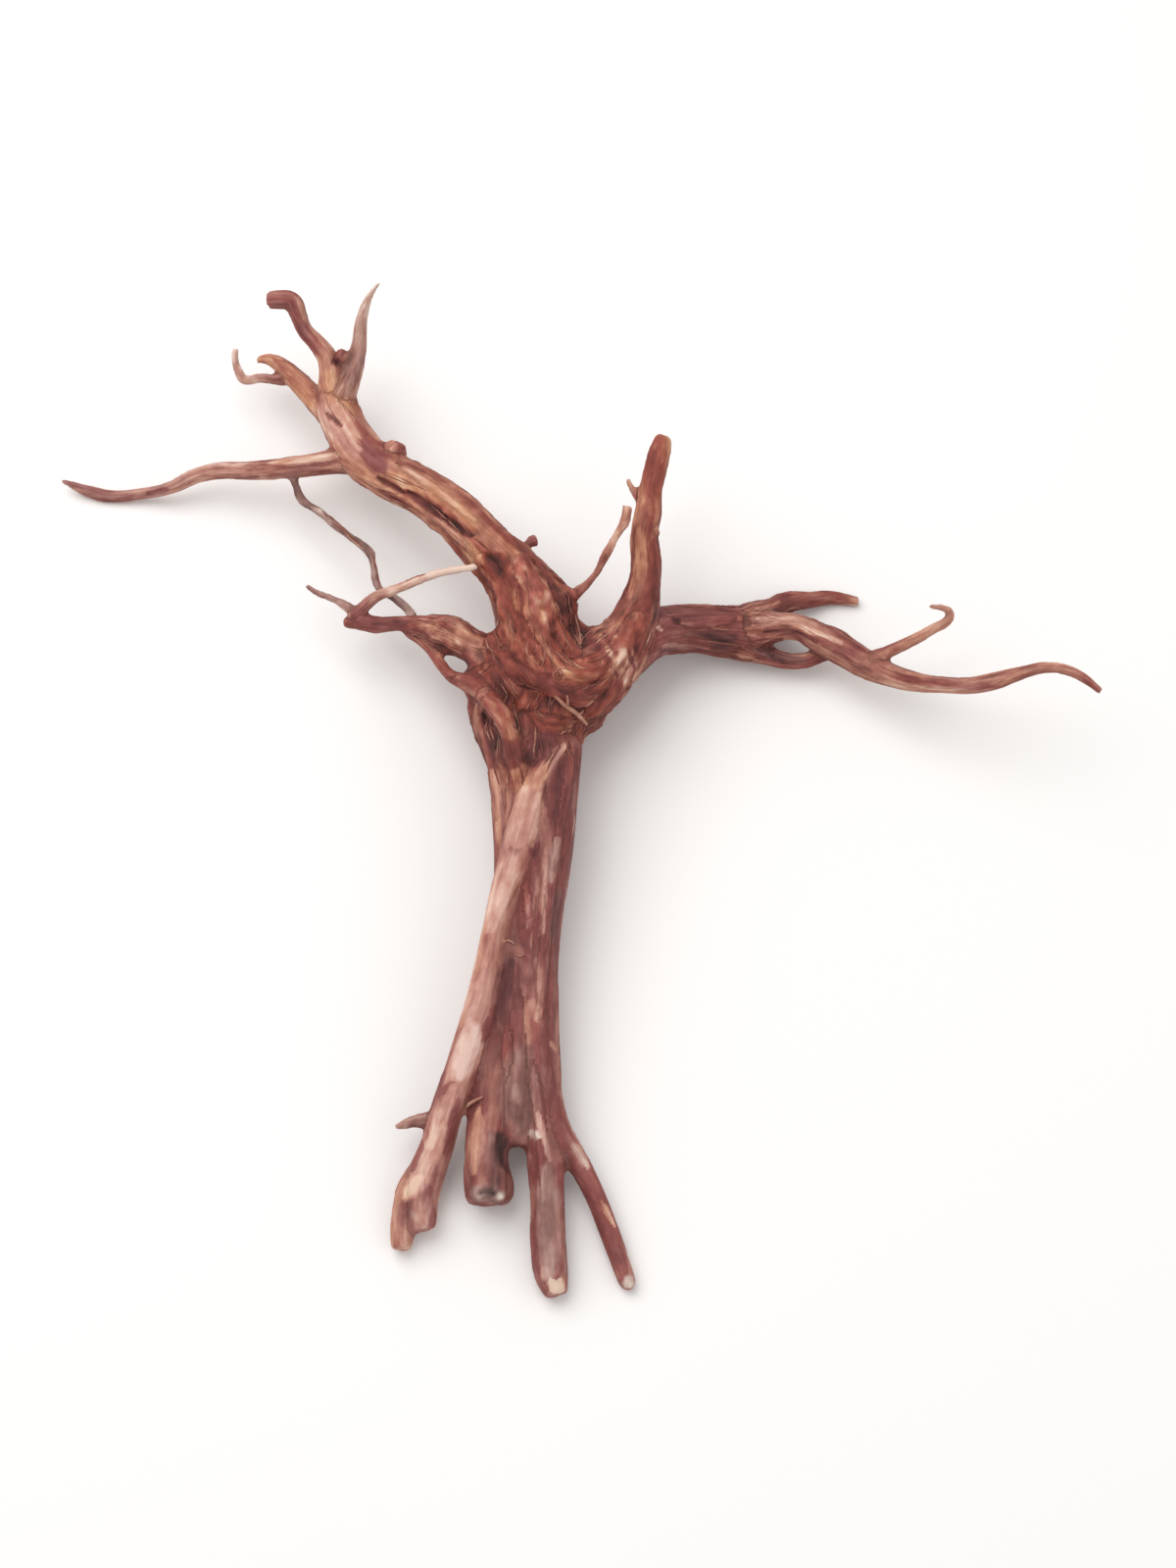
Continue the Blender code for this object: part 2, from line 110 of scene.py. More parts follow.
# Tufts of short felted fibre: width, length, how far they stand up (mm), and how much paler they are painted
# where they stand up and darker between them, a painted highlight and shade that follow their relief
tufts = [
    {"across": 10.0, "along": 11.0, "height": 1.7, "pale": 0.16, "seed": 241.0},
    {"across": 6.0, "along": 8.0, "height": 1.4, "pale": 0.18, "seed": 211.0},
    {"across": 3.0, "along": 5.0, "height": 0.8, "pale": 0.14, "seed": 223.0},
]

# What each root or fibre says of its looks, and what counts where it says nothing
looks = {"bark": 0.0, "pale": 0.0, "warm": 0.0, "grey": 0.0, "fill": 0.0, "combed": 1.0, "matted": 0.0}

# Every root: how its wood looks at its two ends (bark 0 bare to 1 covered, pale 0 dark to 1 bleached,
# warm 0 purplish to 1 orange, grey 0 fresh to 1 silvered), and its route: across, up, height, radius (mm).
# One number stands for both ends. A root that names a fill is thick wood, and is grown together first.
roots = {
    "crown": {"bark": (0.85, 0.8), "pale": (0.46, 0.38), "warm": (0.9, 0.7), "fill": 1, "combed": 0.5,
        "matted": (1, 0.8),
        "route": [(-34, 103, 54, 30), (-33, 88, 50, 37), (-33, 72, 45.5, 43.5), (-35, 57, 43.5, 45.5),
        (-38, 44, 43, 35.5), (-39, 28, 44, 31.5), (-38, 6, 44, 26)]},
    "crownLeft": {"bark": 0.75, "pale": (0.34, 0.3), "warm": 0.6, "fill": 1, "combed": 0.7,
        "matted": (0.9, 0.5),
        "route": [(-58, 78, 46, 18), (-62, 62, 44, 18), (-62, 45, 42, 17), (-60, 28, 42, 13),
        (-56, 10, 42, 10)]},
    "crownRight": {"bark": (0.75, 0.65), "pale": (0.42, 0.36), "warm": 0.7, "fill": 1, "combed": 0.5,
        "matted": (0.6, 0.8),
        "route": [(12, 92, 48, 20), (9, 74, 46, 20), (1, 60, 46, 17.5), (-8, 49, 46, 13)]},
    "underLeft": {"bark": 0.5, "pale": (0.36, 0.42), "warm": 0.3, "grey": 0.1, "fill": (0.6, 0.3),
        "route": [(-44, -30, 22, 10), (-48, 20, 17, 12), (-54, 62, 16, 13), (-51, 100, 27, 12),
        (-62, 142, 46, 10), (-98, 181, 50, 8)]},
    "underRight": {"bark": 0.6, "pale": 0.36, "warm": 0.3, "grey": 0.1, "fill": (0.6, 0.3),
        "route": [(-28, -20, 22, 10), (-20, 30, 16, 12), (0, 68, 15, 13), (30, 94, 18, 12),
        (68, 101, 17, 11), (104, 102, 12.5, 11)]},
    "leftArm": {"bark": (0.6, 0.28), "pale": (0.44, 0.58), "warm": (0.9, 0.4), "fill": (0.8, 0.3),
        "combed": (0.6, 0.75), "matted": (0.8, 0),
        "route": [(-34, 95, 56, 27), (-37, 120, 60, 25.5), (-46, 135, 62, 21.5), (-57, 149, 64, 18.5),
        (-70, 162, 65, 17.5), (-86, 180, 64, 16.3), (-109, 197, 60, 15.8), (-133, 209, 54, 16.3),
        (-154, 224, 48, 16.3), (-164, 239, 48, 15), (-172, 254, 50, 13.5), (-174, 265, 52, 11)]},
    "armFork": {"bark": (0.3, 0.35), "pale": (0.55, 0.46), "warm": (0.6, 1.1), "fill": (1, 0.8),
        "route": [(-160, 236, 48, 13), (-169, 255, 50, 13), (-171, 266, 52, 11.5), (-170, 276, 56, 8.5)]},
    "tipWeb": {"bark": 0.7, "pale": 0.34, "warm": 0.4,
        "route": [(-170.5, 277, 55, 6), (-169, 286, 60, 6.2), (-168, 291, 63, 4.5)]},
    "armKnob": {"bark": 0.66, "pale": (0.42, 0.44), "warm": 0.2,
        "route": [(-137, 219, 56, 9), (-131, 228, 60, 7.8), (-129, 232.5, 62, 5.4)]},
    "armNub": {"bark": 0.6, "pale": (0.5, 0.4), "warm": 0.3, "grey": 0.1,
        "route": [(-54, 154, 60, 3), (-46, 160.5, 60, 2.2), (-41, 163.5, 60, 2.6), (-38, 165, 60, 4),
        (-34.5, 166, 60, 3.8)]},
    "hookedTip": {"bark": (0.3, 0.8), "pale": (0.56, 0.44), "warm": (0.6, 0.2), "grey": 0.2,
        "route": [(-174, 266, 54, 10), (-177, 288, 62, 7.5), (-184, 299, 66, 6.2), (-193, 309, 70, 5.6),
        (-197, 319, 76, 5.9), (-201, 328, 80, 6.5), (-210, 329.5, 80, 6.3), (-217, 329, 78, 5.8)]},
    "spikeTip": {"bark": (0.45, 0.1), "pale": (0.5, 0.7), "warm": (0.6, 0.2), "grey": (0.6, 0.8),
        "route": [(-168, 262, 54, 10), (-163, 274, 58, 8.4), (-158, 288, 63, 6.4), (-155.5, 300, 68, 5.2),
        (-154.3, 314, 76, 4.4), (-151, 326, 84, 3.2), (-146, 336, 92, 2.1), (-142, 341, 97, 1.5)]},
    "tipKnob": {"bark": 0.7, "pale": (0.5, 0.4), "warm": 0.3, "grey": 0.1,
        "route": [(-168, 290, 66, 5), (-166, 294, 70, 4)]},
    "curledTip": {"bark": (0.3, 0.4), "pale": 0.52, "warm": (0.9, 0.8), "grey": 0.1,
        "route": [(-171, 250, 50, 12), (-180, 257, 48, 9.5), (-190, 266, 45, 8), (-199, 275.5, 42, 7.2),
        (-206, 282, 38, 6.4), (-213, 287, 34, 4.9), (-220, 289, 31, 3.6), (-225.5, 288, 30, 2.4)]},
    "curledFork": {"bark": (0.7, 0.3), "pale": (0.45, 0.7), "warm": 0.3, "grey": (0.2, 0.7),
        "matted": 0.8,
        "route": [(-202, 277, 40, 5), (-210, 275, 38, 3.8), (-223, 276, 33, 3.2), (-233.5, 275, 30, 3.4),
        (-238, 281, 30, 3.3), (-240, 288, 32, 2.8), (-240, 296, 34, 2.4)]},
    "leftBranch": {"bark": (0.3, 0.42), "pale": (0.62, 0.5), "warm": (0.4, 0.1), "grey": (0.15, 0.25),
        "combed": 1.3,
        "route": [(-158, 222, 47, 11), (-174, 219.5, 44, 8.1), (-200.5, 215.7, 38, 7),
        (-230, 213.3, 31, 6.2), (-252, 213, 25, 5.6), (-266, 209.5, 20, 5.3), (-284, 201.3, 13, 4.6),
        (-304, 197.3, 6.5, 4.1), (-322, 195.5, 3.4, 4.3), (-337, 198.2, 4.2, 4.5), (-350, 203, 8, 3),
        (-358, 206.5, 10, 1.8)]},
    "hangingTwig": {"bark": 0.5, "pale": (0.36, 0.3), "warm": 0.2, "grey": 1, "matted": 1,
        "route": [(-201.5, 212, 36, 3.8), (-199, 204, 31, 2.6), (-195, 194, 28, 3), (-183, 185, 28, 2.3),
        (-172.5, 176.5, 30, 2.8), (-160, 167, 32, 2.4), (-149, 158, 33, 3.2), (-146, 148, 33, 2.4),
        (-144, 137, 33, 2.8), (-140, 131, 33, 2.5), (-131, 125.5, 34, 3), (-123, 119, 36, 3),
        (-119, 113, 38, 3)]},
    "cluster": {"bark": (0.45, 0.8), "pale": (0.45, 0.4), "warm": (0.6, 0.2), "grey": 0.1,
        "fill": (0.6, 0), "matted": (0.6, 1),
        "route": [(-52, 75, 58, 17), (-68, 87, 57, 12.5), (-80, 95, 54, 11.2), (-95, 103, 50, 12.5),
        (-105, 106.5, 47, 9), (-113, 108, 45, 7), (-123, 109, 43, 5.4), (-131, 109, 42, 5.2),
        (-140, 108.5, 41, 5.6), (-149, 109, 40, 6), (-158, 110.5, 39, 5.3), (-167, 110, 38, 3.8)]},
    "clusterWhip": {"bark": (0.7, -0.5), "pale": (0.4, 1.1), "warm": 0.3, "grey": (0.2, 0.5),
        "matted": 0.7,
        "route": [(-159, 114, 41, 5), (-152, 121, 43, 4.6), (-143.7, 127.4, 46, 4),
        (-131, 132.3, 49, 3.5), (-115.6, 138.5, 54, 3), (-100.3, 144, 62, 2.8), (-87.6, 146, 72, 2.7),
        (-76, 148, 82, 2.3)]},
    "clusterSpur": {"bark": (0.6, 0.4), "pale": (0.42, 0.5), "warm": 0.3, "grey": 0.7, "matted": 1,
        "route": [(-160, 118, 40, 3.6), (-174.3, 126.3, 36, 2.4), (-183.2, 129.5, 34, 2.3),
        (-192, 134.8, 33, 1.8)]},
    "clusterStrand": {"bark": (0.5, 0.62), "pale": 0.42, "warm": (0.5, 0.8), "grey": 0.05,
        "fill": (0, 0.8), "matted": 0.4,
        "route": [(-123, 105, 36, 4.5), (-109, 94, 40, 4.4), (-101.5, 83.5, 46, 4),
        (-92.5, 73.5, 54, 4.6), (-78, 67.5, 66, 6.6), (-67, 57, 78, 6), (-57, 44, 86, 6.5),
        (-52, 28.7, 80, 6), (-49, 15, 73, 6), (-47, 0, 67, 5)]},
    "rightArm": {"bark": (0.5, 0.42), "pale": (0.46, 0.48), "warm": (0.5, 0.8), "fill": (1, 0),
        "matted": (0.6, 0),
        "route": [(-14, 66, 50, 30), (6, 79, 52, 26), (23, 96, 54, 19.5), (32, 114, 58, 14.5),
        (37.5, 132, 63, 11), (39.5, 151, 68, 9.7), (38.3, 168, 72, 9.2), (41, 185, 76, 8.8),
        (42.5, 200, 80, 8), (46, 215, 84, 8), (49, 227, 87, 7.5), (52, 237, 90, 6)]},
    "armKnot": {"bark": 0.6, "pale": 0.45, "warm": 0.6,
        "route": [(43, 172, 74, 6), (47.5, 174, 75, 4)]},
    "armSpur": {"bark": 0.4, "pale": 0.5, "warm": 0.5, "grey": 0.2,
        "route": [(36, 192, 78, 3), (31, 199, 80, 2.4), (26.5, 208, 83, 1.8)]},
    "crotchTwig": {"bark": (0.6, 0.45), "pale": 0.4, "warm": 0.5, "grey": 0.2, "matted": 1,
        "route": [(-16, 122, 66, 4.6), (-6, 131, 74, 3.4), (4.5, 142, 82, 2.7), (11.5, 155, 88, 3.3),
        (19, 168, 93, 2.6), (24.5, 178, 97, 3.6), (27, 189, 100, 3.5)]},
    "rightBranch": {"bark": (0.72, 0.66), "pale": (0.44, 0.42), "warm": (0.1, 0.3), "grey": 0.05,
        "fill": (1, 0.3), "combed": 1.2,
        "route": [(22, 90, 46, 21), (45, 103, 40, 16.5), (60, 105, 33, 16), (80, 105, 25, 16.4),
        (100, 103, 18.6, 18), (113, 103, 17.2, 18), (124, 104, 19, 14.5)]},
    "branchUpper": {"bark": (0.6, 0.45), "pale": (0.36, 0.4), "warm": 0.4, "grey": 0.1, "combed": 1.4,
        "route": [(112, 111, 22, 13), (124, 117.5, 18, 8.8), (135, 123, 13, 7.2), (150, 125, 8, 5.8),
        (165, 126.5, 4.2, 4.8), (184, 124, 3.2, 3.2)]},
    "branchMiddle": {"bark": (0.42, 0.35), "pale": (0.46, 0.55), "warm": 0.45, "grey": 0.15,
        "combed": (1.6, 1.2),
        "route": [(112, 106, 24, 14), (127, 107, 26, 10.2), (143, 106.5, 27, 8.6), (157, 99.5, 28, 9.8),
        (172, 91.5, 29, 10.5), (188, 82.5, 32, 9.5), (204, 75, 36, 8), (221, 70, 41, 6.8),
        (238, 68, 47, 5.6), (256, 67, 53, 5.3), (272, 69, 60, 5.6), (285, 72.5, 67, 5.2),
        (298, 76.5, 74, 4.3), (312, 79.5, 80, 3.9), (328, 77, 84, 3.6), (339, 71, 85, 3.2),
        (349, 63, 84, 2.3)]},
    "branchFork": {"bark": (0.4, 0.3), "pale": (0.5, 0.55), "warm": 0.45, "grey": 0.15,
        "route": [(192, 82, 34, 8), (203, 89, 40, 4.8), (217.6, 96.2, 50, 4.2), (234, 105.2, 62, 3.7),
        (245, 112, 71, 3.4), (246, 117, 76, 2.9), (240, 120, 79, 2.4), (232, 121, 81, 1.8)]},
    "branchLower": {"bark": 0.6, "pale": (0.34, 0.42), "warm": 0.35, "grey": 0.1, "combed": 1.6,
        "route": [(106, 95, 18, 12), (120, 88.5, 15, 7.8), (133, 84, 14, 5.6), (147, 84, 15, 5.2),
        (160, 89, 20, 5.4), (172, 93, 26, 5)]},
    "stock": {"bark": (0.7, 0.6), "pale": (0.46, 0.5), "warm": (0.05, 0.1), "grey": 0.1,
        "fill": (1, -0.3), "combed": (0.5, 0.35),
        "route": [(-33, 25, 47, 28), (-32, -5, 46, 25), (-31, -40, 43, 21), (-34, -75, 40, 18),
        (-37, -110, 37, 16.5), (-38, -140, 34, 16), (-37, -170, 31, 15.5), (-35, -200, 27, 15),
        (-32, -228, 23, 13), (-29, -255, 18.5, 11.5), (-27.5, -285, 14.5, 11), (-26.5, -315, 11.5, 11.3),
        (-24.5, -335, 10, 10.6), (-21, -348, 8, 7.5)]},
    "stockLeft": {"bark": (0.42, 0.6), "pale": (0.5, 0.42), "warm": (0.45, 0.1), "grey": 0.15,
        "fill": (1, -0.6), "combed": (0.5, 0.35),
        "route": [(-50, 15, 45, 18), (-47, -20, 43, 17), (-46.5, -55, 41, 15.8), (-48, -90, 38, 15),
        (-51, -125, 35, 15), (-55, -155, 32, 15.5), (-60, -185, 29, 15), (-64.5, -212, 26, 13.8),
        (-68, -238, 23, 13.5), (-69.5, -262, 21, 13.6), (-69.5, -285, 20, 13)]},
    "stockRight": {"bark": (0.75, 0.62), "pale": (0.42, 0.48), "warm": (0, 0.15), "grey": 0.1,
        "fill": (1, -0.6), "combed": (0.5, 0.4),
        "route": [(-18, 15, 51, 12.5), (-19.5, -20, 50, 11), (-24, -60, 46, 10), (-29, -100, 42, 9.2),
        (-31, -140, 38, 9.2), (-30.3, -180, 33, 9.2), (-27.5, -212, 28, 9), (-21, -236, 24, 9),
        (-9.5, -253, 19, 7.6), (3, -276, 13, 6.6), (14, -303, 8.5, 6.6), (22, -325, 6.4, 6.4),
        (27.5, -340, 5.6, 5.6), (29, -344, 5, 3.6)]},
    "stockWeb": {"bark": (0.72, 0.7), "pale": 0.4, "warm": 0.05, "grey": 0.15, "fill": (1, 0.4),
        "combed": 0.4,
        "route": [(-48, -150, 33, 15), (-48, -190, 29, 15), (-48, -224, 25, 13), (-48, -246, 22, 9)]},
    "stockUnderside": {"bark": 0.6, "pale": (0.38, 0.4), "warm": 0.25, "grey": 0.2, "fill": (1, 0.4),
        "combed": 0.6,
        "route": [(-38, 50, 30, 26), (-36, 10, 26, 18), (-37, -50, 24, 15), (-41, -100, 22, 12),
        (-43, -150, 20, 11), (-45, -200, 18, 9)]},
    "longFoot": {"bark": (0.18, 0.36), "pale": 0.6, "warm": (0.35, 0), "grey": 0.05, "fill": (1, -0.6),
        "combed": (0.45, 0.6),
        "route": [(-17, 25, 66, 4), (-27, 14, 66, 7), (-37, -3, 64.5, 9.5), (-43, -25, 61, 10.6),
        (-49, -48, 57, 10.4), (-55, -66, 54, 9.6), (-60.5, -85, 52, 8.5), (-66, -108, 50, 7.8),
        (-69.5, -129, 47.5, 8.8), (-74.5, -152, 44, 9.5), (-81, -175, 39, 10.2), (-87.5, -197, 34, 10.6),
        (-96, -222, 28, 10.6), (-103.5, -248, 22, 11.4), (-110.5, -268, 16, 12.2),
        (-113, -284, 12.5, 11.2), (-112.5, -299, 11, 10), (-111.5, -304, 10.4, 8.4)]},
    "footToe": {"bark": (0.5, 0.35), "pale": (0.5, 0.6), "warm": 0.4, "grey": 0.15, "fill": 0.2,
        "combed": 0.6,
        "route": [(-110, -255, 18, 6), (-118, -273, 13, 10), (-124, -290, 10, 8.8),
        (-126.5, -304, 8.8, 7.8), (-127, -317, 8, 6.6)]},
    "stubToe": {"bark": (0.7, 0.5), "pale": 0.4, "warm": 0.2, "grey": 0.4, "fill": 0.2, "combed": 0.5,
        "route": [(-64, -248, 21, 9), (-62, -262, 19, 8.2), (-59.5, -273, 17.5, 8.4),
        (-58.5, -279, 16.5, 7.2), (-61, -285, 15.5, 5)]},
    "footTwig": {"bark": (0.6, 0.4), "pale": (0.5, 0.45), "warm": 0.3, "grey": 0.6, "matted": 1,
        "route": [(-101, -229, 27, 5.4), (-110, -229, 26, 5), (-118, -229.5, 25, 4.3),
        (-124.5, -231.5, 24, 3.2), (-131, -234, 23, 2)]},
}

# What the fibres across the crown share
crownFibre = {"warm": 0.85, "combed": 0.5, "matted": 0.8, "sink": 0.75, "swath": 7}

# Fibres that lie on the wood and are grown into it: across, up, radius (mm), and how they look.
# Round the crown they also turn the grain of the wood beside them, as far as their swath (mm).
laidFibres = [
    {**crownFibre, "bark": 0.75, "pale": 0.54,
     "path": [(-70, 150, 4), (-62, 132, 5), (-58, 115, 5.5), (-52, 98, 5), (-44, 84, 4), (-33, 74, 3)]},
    {**crownFibre, "bark": 0.8, "pale": 0.5,
     "path": [(-44, 150, 4), (-38, 135, 5), (-33, 118, 5.5), (-27, 100, 5), (-19, 84, 5), (-6, 75, 4.5),
              (7, 77, 4), (17, 88, 3.5)]},
    {**crownFibre, "bark": 0.8, "pale": 0.38,
     "path": [(-27, 140, 4), (-17, 127, 4.5), (-12, 112, 4.5), (-10, 98, 4)]},
    {**crownFibre, "bark": 0.8, "pale": 0.46,
     "path": [(-64, 97, 4), (-49, 80, 5), (-33, 66, 5.5), (-14, 60, 5.5), (5, 65, 5), (17, 78, 4.5),
              (26, 95, 4), (31, 112, 3)]},
    {**crownFibre, "bark": 0.8, "pale": 0.42,
     "path": [(-54, 64, 4), (-42, 51, 5), (-25, 43, 5.5), (-6, 44, 5), (9, 53, 4.5), (20, 68, 4),
              (27, 82, 3)]},
    {"bark": 0.6, "pale": 0.42, "warm": 0.4, "swath": 4,
     "path": [(-72, 62, 4), (-74, 47, 5), (-70, 30, 5), (-66, 14, 4), (-63.5, -2, 3.5), (-62, -20, 3)]},
    {"bark": 0.65, "pale": 0.4, "warm": 0.6, "swath": 5,
     "path": [(-62, 88, 4), (-54, 70, 5), (-45, 55, 6), (-42, 38, 6), (-42, 24, 5)]},
    {"bark": 0.7, "pale": 0.36, "warm": 0.1,
     "path": [(-13, 36, 4), (-14, 14, 5), (-19, -22, 5), (-25, -62, 4.5), (-29, -100, 4), (-32, -140, 4),
              (-33, -180, 3.5)]},
    {"bark": 0.35, "pale": 0.55, "warm": 0.3, "path": [(-41, -62, 3), (-40, -85, 3.5), (-38, -112, 3.5)]},
    {"bark": 0.5, "pale": 0.46, "warm": 0.4, "path": [(-57, -150, 3), (-55, -180, 3.5), (-56, -205, 3)]},
    {"bark": 0.6, "pale": 0.46, "warm": 0.1,
     "path": [(-40, -170, 3), (-37, -200, 3.5), (-33, -230, 4), (-31, -260, 3.5), (-30, -300, 3)]},
    {"bark": 0.15, "pale": 0.7, "warm": 0.6,
     "path": [(-146, 231, 3.5), (-124, 214, 4), (-100, 198, 4.5), (-78, 179, 4), (-62, 160, 3.5)]},
    {"bark": 0.3, "pale": 0.55, "warm": 0.6,
     "path": [(-125, 192, 3), (-104, 181, 3.5), (-86, 165, 3.5), (-74, 148, 3)]},
    {"bark": 0.55, "pale": 0.46, "warm": 0.3,
     "path": [(50, 112, 3.5), (72, 110, 4), (95, 112, 4.5), (116, 116, 4)]},
    {"bark": 0.55, "pale": 0.46, "warm": 0.4,
     "path": [(48, 95, 3.5), (70, 97, 4), (92, 93, 4.5), (112, 92, 4)]},
]
